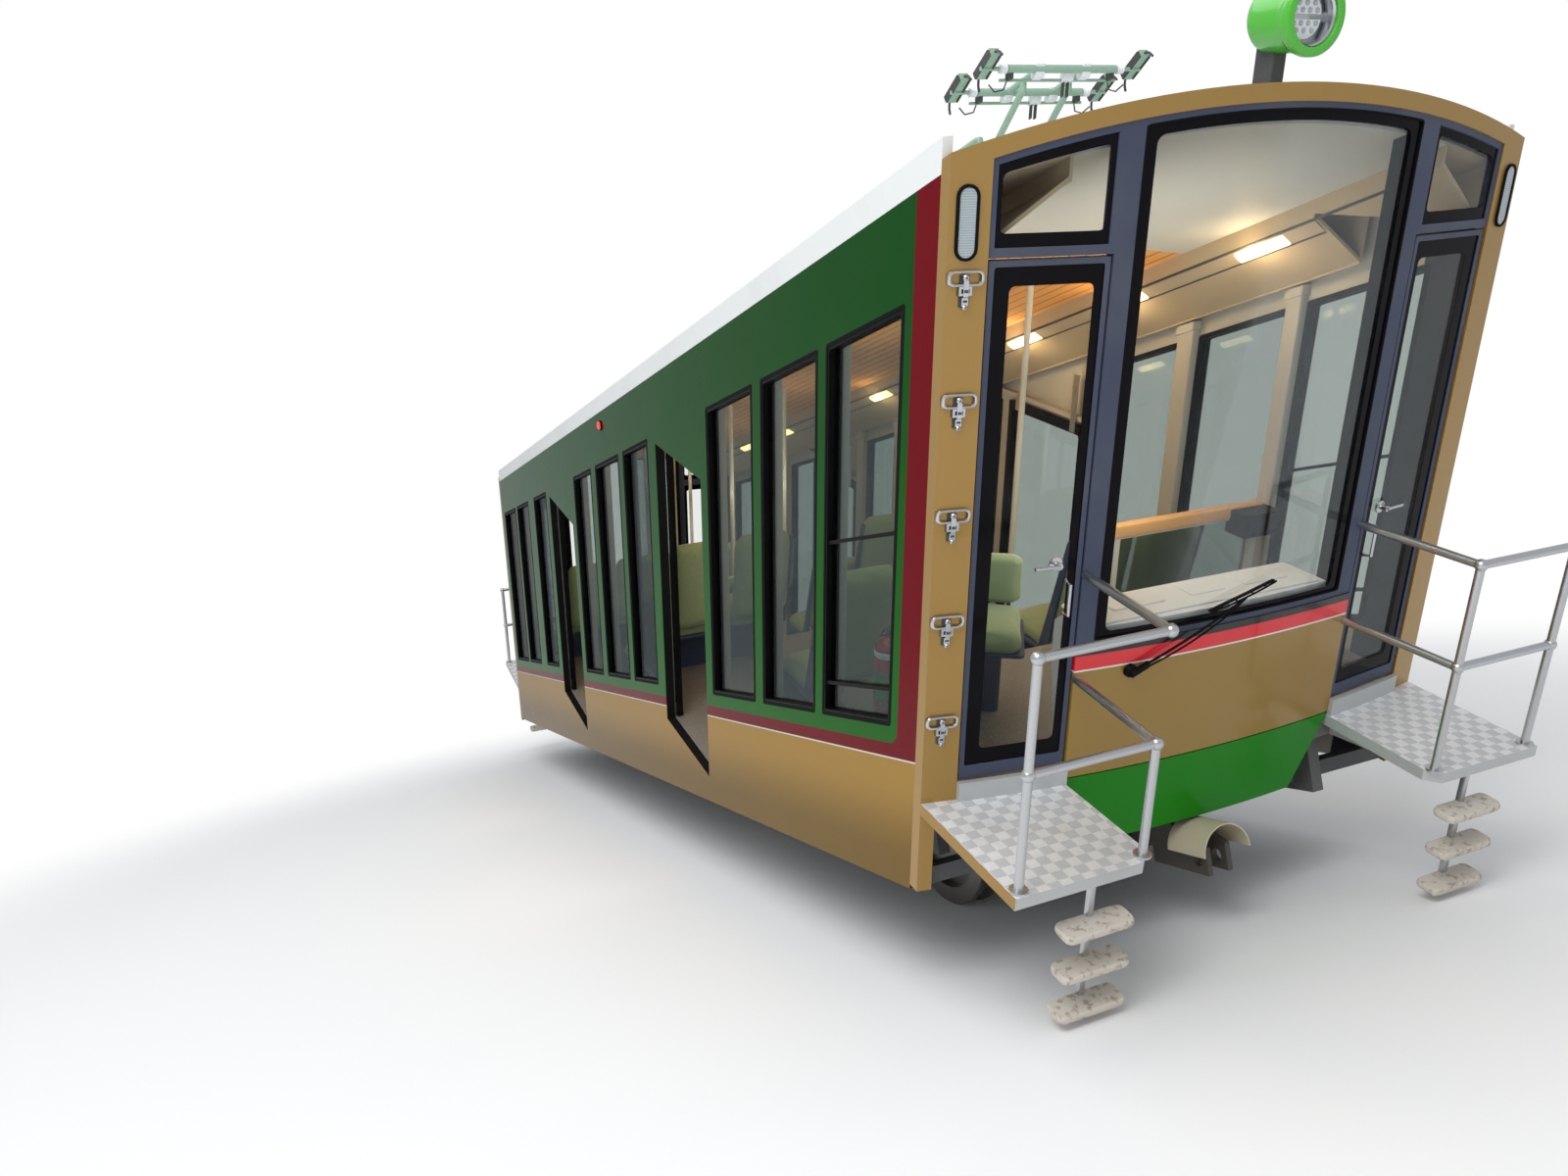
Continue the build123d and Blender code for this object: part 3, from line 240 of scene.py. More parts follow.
def rounded(corners, radius, steps=4):
    """A loop whose corners become curves through t: the blend of both edges and the corner."""
    corners = np.asarray(corners, float)
    radius = np.asarray(radius, float)
    before = np.roll(corners, 1, axis=0) - corners
    after = np.roll(corners, -1, axis=0) - corners
    scale = radius if radius.ndim else np.full(2, float(radius))
    start = corners + before / np.linalg.norm(before / scale, axis=1, keepdims=True)
    stop = corners + after / np.linalg.norm(after / scale, axis=1, keepdims=True)
    t = np.linspace(0, 1, steps)[None, :, None]
    curve = (1 - t) ** 2 * start[:, None] + 2 * t * (1 - t) * corners[:, None] + t ** 2 * stop[:, None]
    return curve.reshape(-1, 2)


def opening(left, right, low, high, radius=0.02, count=9):
    """A rounded loop: across runs from side to side, and its edges rise by a quarter circle at corners."""
    low = low if callable(low) else (lambda across, value=low: np.full_like(across, value))
    high = high if callable(high) else (lambda across, value=high: np.full_like(across, value))
    turn = np.linspace(0, np.pi / 2, 5)
    middle = np.linspace(left + radius, right - radius, count + 2)[1:-1]
    across = np.concatenate((
        left + radius - radius * np.cos(turn), middle, right - radius + radius * np.sin(turn)))
    lifted = radius * np.concatenate((1 - np.sin(turn), np.zeros(count), 1 - np.cos(turn)))
    lower = np.stack((across, low(across) + lifted), axis=-1)
    upper = np.stack((across, high(across) - lifted), axis=-1)
    return np.concatenate((lower, upper[::-1]))


def piece(name, shape, finish, body="car", stands_for=(), bevel=0.0, angle=32):
    """Puts a shape into a mesh, turns its faces outwards and gives it its finish and its body."""
    mesh = bpy.data.meshes.new(name)
    mesh.from_pydata(shape.points, [], shape.quads.tolist() + [cap.tolist() for cap in shape.caps])
    work = bmesh.new()
    work.from_mesh(mesh)
    bmesh.ops.recalc_face_normals(work, faces=work.faces)
    work.to_mesh(mesh)
    work.free()
    mesh.shade_smooth()
    mesh.set_sharp_from_angle(angle=math.radians(angle))
    mesh.materials.append(finish.material)
    made = bpy.data.objects.new(name, mesh)
    bpy.context.scene.collection.objects.link(made)
    if bevel:
        edges = made.modifiers.new("edges", "BEVEL")
        edges.width = bevel
        edges.segments = 2
        edges.limit_method = "ANGLE"
        edges.angle_limit = math.radians(40)
        edges.harden_normals = True
    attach(made, body)
    if stands_for:
        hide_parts(*stands_for)
    return made


# %% [markdown]
# ## Finishes written as expressions
#
# A shader is a graph of sockets. Wrapping one socket in a class with Python's operators lets a mask be
# written as it is thought of, such as `above * (1 - below)`, and each operator adds its Math node.
# Patterns read Object coordinates: every piece sits at the origin, so they are the car's own metres.

# %% A socket that can be calculated with, and a finish that holds its nodes
class Value:
    """One output of a finish's nodes, joined to others by Python's operators."""

    def __init__(self, finish, socket):
        self.finish, self.socket = finish, socket

    def joined(self, operation, *values):
        return self.finish.node("ShaderNodeMath", {"operation": operation}, dict(enumerate(values)))

    def __add__(self, other):
        return self.joined("ADD", self, other)

    __radd__ = __add__

    def __sub__(self, other):
        return self.joined("SUBTRACT", self, other)

    def __rsub__(self, other):
        return self.joined("SUBTRACT", other, self)

    def __mul__(self, other):
        return self.joined("MULTIPLY", self, other)

    __rmul__ = __mul__

    def __truediv__(self, other):
        return self.joined("DIVIDE", self, other)

    def __mod__(self, other):
        return self.joined("FLOORED_MODULO", self, other)

    def __gt__(self, other):
        return self.joined("GREATER_THAN", self, other)

    def __lt__(self, other):
        return self.joined("LESS_THAN", self, other)

    def __abs__(self):
        return self.joined("ABSOLUTE", self)

    def __pow__(self, other):
        return self.joined("POWER", self, other)

    def sine(self):
        return self.joined("SINE", self)

    def or_more(self, other):
        return self.joined("MAXIMUM", self, other)

    def floor(self):
        return self.joined("FLOOR", self)

    def root(self):
        return self.joined("SQRT", self)

    def step(self, low, high):
        """A smooth step from 0 at low to 1 at high."""
        return self.finish.node(
            "ShaderNodeMapRange", {"interpolation_type": "SMOOTHSTEP"},
            {0: self, 1: low, 2: high, 3: 0, 4: 1})

    def within(self, low, high, soft=0.0004):
        """1 between two values and 0 outside them."""
        return self.step(low - soft, low + soft) * (1 - self.step(high - soft, high + soft))


class Finish:
    """A material under a maker's name, with one method for any node."""

    def __init__(self, name):
        self.material = bpy.data.materials.new(name)
        self.material.use_nodes = True
        self.tree = self.material.node_tree
        self.tree.nodes.clear()
        self.place = self.node("ShaderNodeTexCoord", output="Object")
        self.x, self.y, self.z = (
            self.node("ShaderNodeSeparateXYZ", values={0: self.place}, output=axis) for axis in "XYZ")

    def node(self, kind, settings=None, values=None, output=0):
        """Adds a node: its settings first, then the numbers or links of its sockets."""
        made = self.tree.nodes.new(kind)
        for name, setting in (settings or {}).items():
            setattr(made, name, setting)
        for socket, value in (values or {}).items():
            if isinstance(value, Value):
                self.tree.links.new(value.socket, made.inputs[socket])
            else:
                made.inputs[socket].default_value = value
        return Value(self, made.outputs[output]) if made.outputs else None

    def mix(self, factor, first, second):
        """Colour that goes from the first to the second as the factor goes from 0 to 1."""
        return self.node("ShaderNodeMix", {"data_type": "RGBA"}, {0: factor, 6: first, 7: second}, output=2)

    def noise(self, scale, detail=3.0, stretch=(1, 1, 1), roughness=0.55):
        """Soft noise on the car's own metres, stretched along an axis where that is wanted."""
        where = self.node("ShaderNodeVectorMath", {"operation": "MULTIPLY"}, {0: self.place, 1: stretch})
        return self.node("ShaderNodeTexNoise", values={
            "Vector": where, "Scale": scale, "Detail": detail, "Roughness": roughness})

    def rise(self, end=1):
        """Rise above the sill line, along the car's upright, as measured at an end."""
        foot = front if end > 0 else front - length
        return (self.x - foot) * climb + (self.z - sill) * run

    def flank_rise(self):
        """Rise above the sill line that runs along the rails."""
        return (self.z - sill) / run

    def station(self):
        """Distance along the rails from the uphill face."""
        return self.x - front - self.flank_rise() * climb

    def level(self):
        """Distance in the car's level direction from the foot of the uphill face."""
        return (self.x - front) * run - (self.z - sill) * climb

    def shaded(self, base, roughness, bump=None, **constants):
        """Joins the finish's shader: a base, a roughness, constants and a bump of (height, metres)."""
        values = {"Base Color": base, "Roughness": roughness}
        values.update({name.replace("_", " "): value for name, value in constants.items()})
        if bump:
            values["Normal"] = self.node("ShaderNodeBump", values={"Height": bump[0], "Distance": bump[1]})
        shader = self.node("ShaderNodeBsdfPrincipled", values=values)
        self.node("ShaderNodeOutputMaterial", values={"Surface": shader})
        return self


def colour(red, green, blue):
    """A colour from its three display values, 0 to 255, as the linear light that shaders use."""
    value = np.array((red, green, blue)) / 255
    linear = np.where(value <= 0.04045, value / 12.92, ((value + 0.055) / 1.055) ** 2.4)
    return (*map(float, linear), 1.0)


# %% [markdown]
# ## Camera, floor and light
#
# The camera stands where the photograph was taken, found from the body's vanishing lines. The world is
# white to the camera and through glass, but lights the car, and shows in its gloss, at a lower level.

# %% Camera at the photograph's angle
turn = Matrix((
    (0.37002434, 0.91633945, -0.15298367),
    (-0.02487958, -0.15483855, -0.98762646),
    (-0.92868886, 0.369252, -0.03449589),
))
camera_data = bpy.data.cameras.new("photo_camera")
camera_data.sensor_width = 36.0
camera_data.lens = 27.925
camera_data.clip_end = 200.0
camera = bpy.data.objects.new("photo_camera", camera_data)
bpy.context.scene.collection.objects.link(camera)
camera.matrix_world = (
    Matrix.Translation((8.5674, -3.3984, 1.9163))
    @ (turn.transposed() @ Matrix.Diagonal((1, -1, -1))).to_4x4()
)
bpy.context.scene.camera = camera
print("camera at", [round(value, 3) for value in camera.location])

# %% White surroundings and soft lamps
world = bpy.data.worlds.new("studio")
bpy.context.scene.world = world
world.use_nodes = True
sky = world.node_tree
sky.nodes.clear()
path = sky.nodes.new("ShaderNodeLightPath")
shown = sky.nodes.new("ShaderNodeMath")
shown.operation = "MAXIMUM"
sky.links.new(path.outputs["Is Camera Ray"], shown.inputs[0])
sky.links.new(path.outputs["Is Transmission Ray"], shown.inputs[1])
plain, white, either, out = (sky.nodes.new(kind) for kind in (
    "ShaderNodeBackground", "ShaderNodeBackground", "ShaderNodeMixShader", "ShaderNodeOutputWorld"))
plain.inputs["Color"].default_value = (0.93, 0.96, 1.0, 1.0)
plain.inputs["Strength"].default_value = 0.62
white.inputs["Color"].default_value = (1.0, 1.0, 1.0, 1.0)
white.inputs["Strength"].default_value = 1.0
sky.links.new(shown.outputs[0], either.inputs[0])
sky.links.new(plain.outputs[0], either.inputs[1])
sky.links.new(white.outputs[0], either.inputs[2])
sky.links.new(either.outputs[0], out.inputs[0])


def lamp(name, place, aim, size, power, tint=(1.0, 1.0, 1.0)):
    """A square soft lamp that faces a point."""
    data = bpy.data.lights.new(name, "AREA")
    data.size, data.energy, data.color = size, power, tint
    made = bpy.data.objects.new(name, data)
    bpy.context.scene.collection.objects.link(made)
    ahead = Matrix.Translation(place).translation - Matrix.Translation(aim).translation
    made.matrix_world = Matrix.Translation(place) @ ahead.to_track_quat("Z", "Y").to_matrix().to_4x4()
    return made


def unseen(light):
    """Keeps a lamp itself out of the picture and out of reflections."""
    light.visible_camera = light.visible_glossy = light.visible_transmission = False


lamp("key_lamp", (9.5, -6.5, 9.0), (2.0, 0.0, 1.5), 6.0, 620.0)
lamp("roof_lamp", (0.0, -2.0, 11.0), (0.0, 0.0, 2.0), 8.0, 320.0)
for number, station in enumerate((-0.9, -2.8, -4.8, -6.8, -8.6)):
    place = on_flank(station, 1.45, 0.0)
    for way, power in ((1, 8.0), (-1, 6.0)):
        unseen(lamp("cabin_light_%d_%d" % (number, way + 1), tuple(place),
                    tuple(place + way * directions["upright"]), 0.7, power, (1.0, 0.88, 0.72)))
unseen(lamp("windscreen_light", tuple(in_level(-0.10, 1.25, 0.0)), tuple(in_level(-1.5, 1.45, 0.0)), 1.0, 9.0,
            (0.95, 0.98, 1.0)))
for number, station in enumerate((-0.95, -1.93, -2.91, -4.87)):
    for hand in (-1, 1):
        bulb = bpy.data.lights.new("lamp_glow_%d_%d" % (number, hand + 1), "POINT")
        bulb.energy, bulb.color, bulb.shadow_soft_size = 4.0, (1.0, 0.74, 0.42), 0.05
        glow = bpy.data.objects.new(bulb.name, bulb)
        glow.location = on_flank(station, crown - 0.348, hand * 0.83)
        bpy.context.scene.collection.objects.link(glow)
        unseen(glow)

bpy.context.scene.view_settings.view_transform = "Standard"

floor_finish = Finish("studio_floor")
floor_tone = floor_finish.mix(
    floor_finish.noise(0.6, 2.0) * 0.4, (0.93, 0.93, 0.93, 1), (0.90, 0.905, 0.91, 1))
lit_floor = floor_finish.node("ShaderNodeBsdfDiffuse", values={0: floor_tone})
white_floor = floor_finish.node("ShaderNodeEmission", values={0: (1.0, 1.0, 1.0, 1.0), 1: 1.0})
seen = floor_finish.node("ShaderNodeLightPath", output="Is Camera Ray")
reach = (floor_finish.x * floor_finish.x + floor_finish.y * floor_finish.y).root()
floor_finish.node("ShaderNodeOutputMaterial", values={0: floor_finish.node("ShaderNodeMixShader", values={
    0: seen * reach.step(5.0, 8.5), 1: lit_floor, 2: white_floor})})
edge = np.linspace(0, 2 * np.pi, 96, endpoint=False)
floor_mesh = bpy.data.meshes.new("studio_floor")
floor_mesh.from_pydata(point(60 * np.cos(edge), 60 * np.sin(edge), np.zeros(96)), [], [list(range(96))])
floor_mesh.materials.append(floor_finish.material)
floor = bpy.data.objects.new("studio_floor", floor_mesh)
bpy.context.scene.collection.objects.link(floor)


# %% [markdown]
# ## Painted metal
#
# Coach paint is never one flat colour: it has faint dust, a trace of orange peel and, on large thin
# panels, slow waves that bend the reflections. One recipe carries them, and each part of the body gives
# it its own scheme of colours.

# %% The paint recipe
def coach_paint(name, scheme, roughness=0.26, dust=0.10, peel=0.00012, wave=0.0, **constants):
    """Paint from a scheme, a function that gives the colour: dust dulls it, peel and waves bend it."""
    finish = Finish(name)
    cloud = finish.noise(1.7, 4.0)
    speck = finish.noise(90.0, 3.0)
    base = scheme(finish) if callable(scheme) else scheme
    dusty = finish.mix((cloud.step(0.45, 0.8) * dust + speck * dust * 0.35), base, colour(150, 146, 136))
    height = finish.noise(160.0, 2.0) * peel
    if wave:
        height = height + finish.noise(2.6, 1.0, (0.6, 1.0, 1.2)) * wave
    return finish.shaded(
        dusty, cloud * 0.10 + speck * 0.08 + (roughness - 0.09), bump=(height, 1.0), **constants)


# The second green is the body green made lighter as painted light, blended in low on the flank.
green, painted_light_green = colour(12, 70, 16), colour(24, 96, 18)
gold, red, pale_line = colour(164, 128, 62), colour(108, 4, 18), colour(214, 214, 202)
lining_beige = colour(178, 174, 164)
corner_band, corner_round = -0.222, 0.055


def flank_scheme(finish):
    """Green above, gold below a pale line, with a red band down the uphill corner and along the sill."""
    rise, station = finish.flank_rise(), finish.station()
    right = station - (corner_band - corner_round)
    under = (0.20 + corner_round) - rise
    in_corner = right.step(-0.0004, 0.0004) * under.step(-0.0004, 0.0004)
    past_round = ((right * right + under * under).root() - corner_round).step(-0.0006, 0.0006)
    band = station.step(corner_band - 0.0006, corner_band + 0.0006)
    stripe = 1 - rise.step(0.1994, 0.2006)
    red_part = band.or_more(stripe).or_more(in_corner * past_round)
    # Painted light: the green grows lighter towards the sill.
    body = finish.mix(rise.step(0.2, 2.2), painted_light_green, green)
    body = finish.mix(red_part, body, red)
    body = finish.mix(1 - rise.step(0.1364, 0.1376), body, pale_line)
    body = finish.mix(1 - rise.step(0.1294, 0.1306), body, gold)
    # Painted shade: the gold darkens to brown towards the bottom of the flank.
    body = finish.mix(1 - rise.step(-0.34, 0.06), body, colour(120, 94, 46))
    inside = 1 - abs(finish.y).step(half - 0.0030, half - 0.0020)
    lining = 1 - abs(finish.y).step(half - wall + 0.0008, half - wall + 0.0016)
    # Painted shade: the cabin lining near the uphill end is dark grey instead of beige.
    shaded_end = finish.level().step(-0.300, -0.290)
    body = finish.mix(inside, body, colour(22, 22, 24))
    return finish.mix(lining, body, finish.mix(shaded_end, lining_beige, colour(46, 47, 52)))


flank_paint = coach_paint("flank_paint", flank_scheme, 0.17, 0.010, wave=0.0030, IOR=1.13)


apron_gold = colour(150, 118, 46)


def apron_scheme(end):
    """Gold with a thin white line, a red stripe and a black band below the windscreen."""
    def scheme(finish):
        rise = finish.rise(end)
        body = finish.mix(rise.step(0.4468, 0.4478), apron_gold, colour(232, 230, 222))
        body = finish.mix(rise.step(0.4535, 0.4545), body, colour(222, 36, 48))
        return finish.mix(rise.step(0.5135, 0.5145), body, colour(18, 18, 20))
    return scheme


apron_paint = {
    name: coach_paint("apron_paint_" + name, apron_scheme(end), 0.24, 0.05, Coat_Weight=0.4,
                      Coat_Roughness=0.05, Metallic=0.15)
    for name, end in ends.items()
}
ring_gold = coach_paint("ring_gold", gold, 0.34, 0.02, Metallic=0.35, Coat_Weight=0.3, Coat_Roughness=0.08)
slate = coach_paint("slate_grey_paint", colour(66, 73, 94), 0.42, 0.12, IOR=1.3)
skirt_green = coach_paint("skirt_green", colour(20, 126, 14), 0.24, 0.02, IOR=1.3)
lamp_green = coach_paint("lamp_green", colour(74, 182, 44), 0.26, 0.05, Coat_Weight=0.4)
roof_white = coach_paint("roof_white", colour(232, 235, 233), 0.42, 0.14, wave=0.0015)
frame_grey = coach_paint("underframe_grey", colour(74, 76, 78), 0.62, 0.35, peel=0.0004)
cover_beige = coach_paint("cover_beige", colour(188, 178, 152), 0.5, 0.25)
box_black = coach_paint("box_black", colour(52, 54, 56), 0.55, 0.3)
desk_white = coach_paint("desk_white", colour(236, 238, 240), 0.38, 0.03)
extinguisher_red = coach_paint("extinguisher_red", colour(176, 14, 20), 0.28, 0.02, Coat_Weight=0.3)
pole_beige = coach_paint("pole_beige", colour(206, 200, 184), 0.33, 0.05)
seat_blue = coach_paint("seat_blue", colour(52, 66, 96), 0.5, 0.12)
cove_beige = coach_paint("cove_beige", colour(176, 158, 132), 0.55, 0.10)
wall_beige = coach_paint("wall_beige", lining_beige, 0.55, 0.10)
collector_green = coach_paint("collector_green", colour(150, 182, 160), 0.45, 0.25)


# %% [markdown]
# ## Metals, rubber, glass and cloth
#
# Polished and satin metals differ mostly in roughness, and in the fine lines left by brushing. Glass is
# made as a thin pane: clear, with a Fresnel share of gloss, so that light still reaches the cabin.

# %% Metals and plain black trim
def metal(name, tone, roughness, brushed=(1, 1, 1), scratches=0.00002, **constants):
    """Metal whose roughness and tone vary with stretched noise, as brushing leaves them."""
    finish = Finish(name)
    lines = finish.noise(240.0, 3.0, brushed)
    cloud = finish.noise(3.0, 3.0)
    base = finish.mix(lines * 0.5 + cloud * 0.4, tone, tuple(0.78 * value for value in tone[:3]) + (1.0,))
    return finish.shaded(base, lines * 0.12 + cloud * 0.10 + (roughness - 0.1), bump=(lines * scratches, 1.0),
                         Metallic=1.0, **constants)


def rubber(name, tone, roughness=0.5, grain=0.00006):
    """Black trim with a faint grain and worn, greyer places."""
    finish = Finish(name)
    speck, cloud = finish.noise(300.0, 2.0), finish.noise(5.0, 3.0)
    base = finish.mix(cloud.step(0.4, 0.9) * 0.5, tone, tuple(1.9 * value for value in tone[:3]) + (1.0,))
    return finish.shaded(base, speck * 0.15 + (roughness - 0.07), bump=(speck * grain, 1.0), IOR=1.18)


rail_steel = metal("rail_steel", colour(206, 208, 210), 0.30, (0.1, 1, 1))
bright_steel = metal("bright_steel", colour(206, 208, 212), 0.16, (1, 1, 0.2))
gold_pin = metal("gold_pin", colour(214, 176, 70), 0.26)
wheel_steel = metal("wheel_steel", colour(138, 134, 130), 0.38, (1, 0.1, 1), 0.0001)
box_iron = coach_paint("box_iron", colour(66, 60, 54), 0.7, 0.4, peel=0.0006)
black_trim = rubber("black_trim", colour(11, 11, 12), 0.42)
soft_rubber = rubber("soft_rubber", colour(16, 16, 17), 0.7)
black_glass_border = rubber("black_glass_border", colour(12, 10, 15), 0.16, 0.000002)


# %% Glass, clear and tinted
def glass(name, tint, shine_share, gloss=0.02):
    """Thin glass: a tinted transparent shader mixed with gloss by the Fresnel share."""
    finish = Finish(name)
    share = finish.node("ShaderNodeFresnel", values={"IOR": 1.42})
    smear = finish.noise(2.2, 3.0).step(0.45, 0.9) * 0.012
    clear = finish.node("ShaderNodeBsdfTransparent", values={"Color": tint})
    shine = finish.node("ShaderNodeBsdfGlossy", values={"Color": (0.9, 0.95, 1.0, 1.0), "Roughness": gloss})
    both = finish.node("ShaderNodeMixShader", values={0: share * shine_share + smear, 1: clear, 2: shine})
    finish.node("ShaderNodeOutputMaterial", values={"Surface": both})
    return finish


# The side panes' tint is partly the glass's own and partly painted reflection: it is darker to stand in for
# dark reflections on the panes.
side_pane = glass("side_pane", (0.62, 0.66, 0.64, 1.0), 0.20)
end_pane = glass("end_pane", (0.90, 0.91, 0.90, 1.0), 0.13)


# %% Chequered deck plate
# Squares of raised bars that point across and along by turns, on the deck's top only.
chequer_pitch, bar_pitch, deck_rise = 0.048, 0.0096, -0.040


def deck_plate(name, end):
    """Steel with the chequer pattern and its bars on top, and a gold edge at the left from outside."""
    finish = Finish(name)
    along, over = finish.level(), finish.y
    squares = ((along / chequer_pitch).floor() + (over / chequer_pitch).floor()) % 2.0
    on_top = 1 - abs(finish.rise(end) - deck_rise).step(0.0012, 0.0018)
    turn_per_bar = 2 * math.pi / bar_pitch
    bars = (along * turn_per_bar).sine() * squares + (over * turn_per_bar).sine() * (1 - squares)
    cloud, speck = finish.noise(4.0, 4.0), finish.noise(140.0, 3.0)
    side_grey = finish.mix(cloud * 0.5, colour(196, 198, 198), colour(168, 170, 172))
    top = finish.mix(squares, colour(238, 239, 240), colour(204, 206, 208))
    top = finish.mix(bars.step(0.2, 0.9) * 0.25, top, colour(240, 241, 242))
    base = finish.mix(on_top, side_grey, top)
    base = finish.mix(cloud.step(0.5, 0.85) * 0.25, base, colour(140, 132, 120))
    edge_gold = (0 - finish.y * end).step(half - 0.0012, half - 0.0006)
    base = finish.mix(edge_gold, base, gold)
    height = bars * on_top * 0.0006 + speck * 0.0001
    roughness = speck * 0.2 + squares * on_top * 0.12 + 0.28
    return finish.shaded(base, roughness, bump=(height, 1.0), Metallic=0.30)


# %% Wood, cloth and floor covering
def wooden(name, light, dark, along=(0.12, 1.6, 1.6), slats=0.0):
    """Wood whose grain is noise stretched along the boards; slats adds dark grooves across y."""
    finish = Finish(name)
    grain = finish.noise(26.0, 5.0, along, 0.65)
    broad = finish.noise(3.0, 2.0, along)
    base = finish.mix(grain * 0.7 + broad * 0.3, light, dark)
    height = grain * 0.0002
    if slats:
        place = (finish.y / slats) % 1.0
        groove = place.within(0.0, 0.075, 0.01)
        tone = ((finish.y / slats).floor() * 0.37) % 0.25
        base = finish.mix(tone, base, dark)
        base = finish.mix(groove * 0.85, base, colour(70, 44, 26))
        height = height - groove * 0.004
    return finish.shaded(base, grain * 0.2 + 0.32, bump=(height, 1.0))


def ceiling_finish():
    """Smooth cream lining near the uphill end, warm wooden slats along the rest of the cabin."""
    finish = Finish("ceiling_lining")
    station = finish.station()
    pitch = 0.088
    grain = finish.noise(24.0, 5.0, (0.12, 1.6, 1.6), 0.65)
    wood = finish.mix(grain, colour(242, 180, 104), colour(210, 140, 70))
    wood = finish.mix(((finish.y / pitch).floor() * 0.37) % 0.18, wood, colour(160, 106, 58))
    groove = ((finish.y / pitch) % 1.0).within(0.0, 0.09, 0.012)
    wood = finish.mix(groove * 0.9, wood, colour(64, 40, 24))
    # The front lining's grey cream is partly its own colour and partly painted shade.
    cream = finish.mix(finish.noise(1.4, 3.0) * 0.5, colour(186, 185, 180), colour(168, 166, 160))
    slatted = 1 - station.step(-1.452, -1.448)
    cove = abs(finish.y).step(0.842, 0.846)
    beige = finish.mix(finish.noise(1.1, 3.0) * 0.5, colour(182, 164, 136), colour(166, 148, 120))
    slatted = slatted * (1 - cove)
    lining = finish.mix(cove, finish.mix(slatted, cream, wood), beige)
    return finish.shaded(lining, grain * 0.15 + 0.42, bump=(groove * slatted * -0.004, 1.0))


def cloth(name, tone, shade):
    """Moquette: a fine crossed weave, a soft nap and a little sheen."""
    finish = Finish(name)
    turn_per_thread = 2 * math.pi / 0.0035
    weave = (finish.level() * turn_per_thread).sine() * (finish.y * turn_per_thread).sine()
    nap = finish.noise(60.0, 4.0)
    base = finish.mix(nap * 0.7 + weave * 0.03 + 0.1, tone, shade)
    return finish.shaded(base, nap * 0.1 + 0.82, bump=(weave * 0.00008 + nap * 0.0004, 1.0),
                         Sheen_Weight=0.35, Sheen_Roughness=0.5)


def speckled(name, tone, fleck, scale=120.0, roughness=0.6):
    """Hard-wearing sheet with small flecks and scuffed places."""
    finish = Finish(name)
    flecks, scuffs = finish.noise(scale, 4.0).step(0.52, 0.66), finish.noise(2.0, 4.0)
    base = finish.mix(flecks * 0.6, tone, fleck)
    base = finish.mix(scuffs.step(0.5, 0.9) * 0.3, base, colour(120, 112, 100))
    return finish.shaded(base, scuffs * 0.2 + (roughness - 0.1), bump=(flecks * 0.0002, 1.0))


rail_wood = wooden("rail_wood", colour(232, 182, 120), colour(204, 150, 92))
ceiling_wood = ceiling_finish()
seat_cloth = cloth("seat_cloth", colour(152, 168, 128), colour(124, 142, 102))
floor_sheet = speckled("floor_sheet", colour(112, 108, 102), colour(152, 146, 138))
weathered_tread = speckled("weathered_tread", colour(208, 200, 188), colour(132, 112, 92), 34.0, 0.85)


# %% Lamps and lenses
def glowing(name, tone, light, strength):
    """A lamp's cover: a pale moulding that also gives light, uneven along its length."""
    finish = Finish(name)
    cloud = finish.noise(9.0, 2.0)
    return finish.shaded(
        tone, cloud * 0.1 + 0.3, Emission_Strength=strength,
        Emission_Color=finish.mix(cloud * 0.3, light, tuple(0.8 * value for value in light[:3]) + (1.0,)))


def lens(name, tone, **constants):
    """A moulded lens with fine ribs."""
    finish = Finish(name)
    ribs = (finish.rise() * (2 * math.pi / 0.008)).sine()
    return finish.shaded(finish.mix(ribs * 0.15 + 0.2, tone, colour(90, 92, 96)), ribs * 0.03 + 0.12,
                         bump=(ribs * 0.0004, 1.0), Coat_Weight=0.6, **constants)


warm_lamp = glowing("warm_lamp", colour(250, 236, 206), colour(255, 226, 160), 3.2)
red_lamp = glowing("red_lamp", colour(200, 20, 24), colour(255, 60, 50), 1.6)
capsule_lens = lens("capsule_lens", colour(178, 190, 194))
lamp_face = lens("lamp_face", colour(196, 206, 210))
print("finishes", len(bpy.data.materials))

# %% Finishes of the CAD parts
deck_finish = {name: deck_plate("deck_plate_" + name, end) for name, end in ends.items()}
dressed = {
    "roof": roof_white, "side_wall_station": flank_paint, "side_wall_far": flank_paint,
    "side_glass_station": side_pane, "side_glass_far": side_pane, "floor": floor_sheet,
    "ceiling": ceiling_wood, "cabin_lamps": warm_lamp, "seats": seat_cloth, "attendant_seat": seat_cloth,
    "partition": pole_beige, "partition_glass": side_pane, "desks": desk_white, "grab_poles": pole_beige,
    "extinguisher": extinguisher_red, "headlamps": lamp_green, "marker_lamps": capsule_lens,
    "draw_latches": bright_steel, "wipers": black_trim, "deck_ladders": weathered_tread,
    "collector_base": collector_green, "collector_arm": collector_green, "underframe": frame_grey,
    "axle_boxes": box_iron, "draw_gear": box_iron, "rope_cover": cover_beige, "rail_brake": box_iron,
    "equipment_box": box_black, "wheelset_uphill": wheel_steel, "wheelset_downhill": wheel_steel,
}
for name in ends:
    dressed.update({
        "end_ring_" + name: ring_gold, "end_frame_" + name: slate, "apron_" + name: apron_paint[name],
        "skirt_" + name: skirt_green, "end_glass_" + name: end_pane, "decks_" + name: deck_finish[name],
        "deck_rails_" + name: rail_steel, "end_door_%s_left" % name: slate, "end_door_%s_right" % name: slate,
    })
for name in flanks:
    dressed.update({"side_door_%s_upper" % name: black_trim, "side_door_%s_lower" % name: black_trim})
for name, finish in dressed.items():
    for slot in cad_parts[name].material_slots:
        slot.material = finish.material
print("CAD parts with a finish", len(dressed), "of", len(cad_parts))


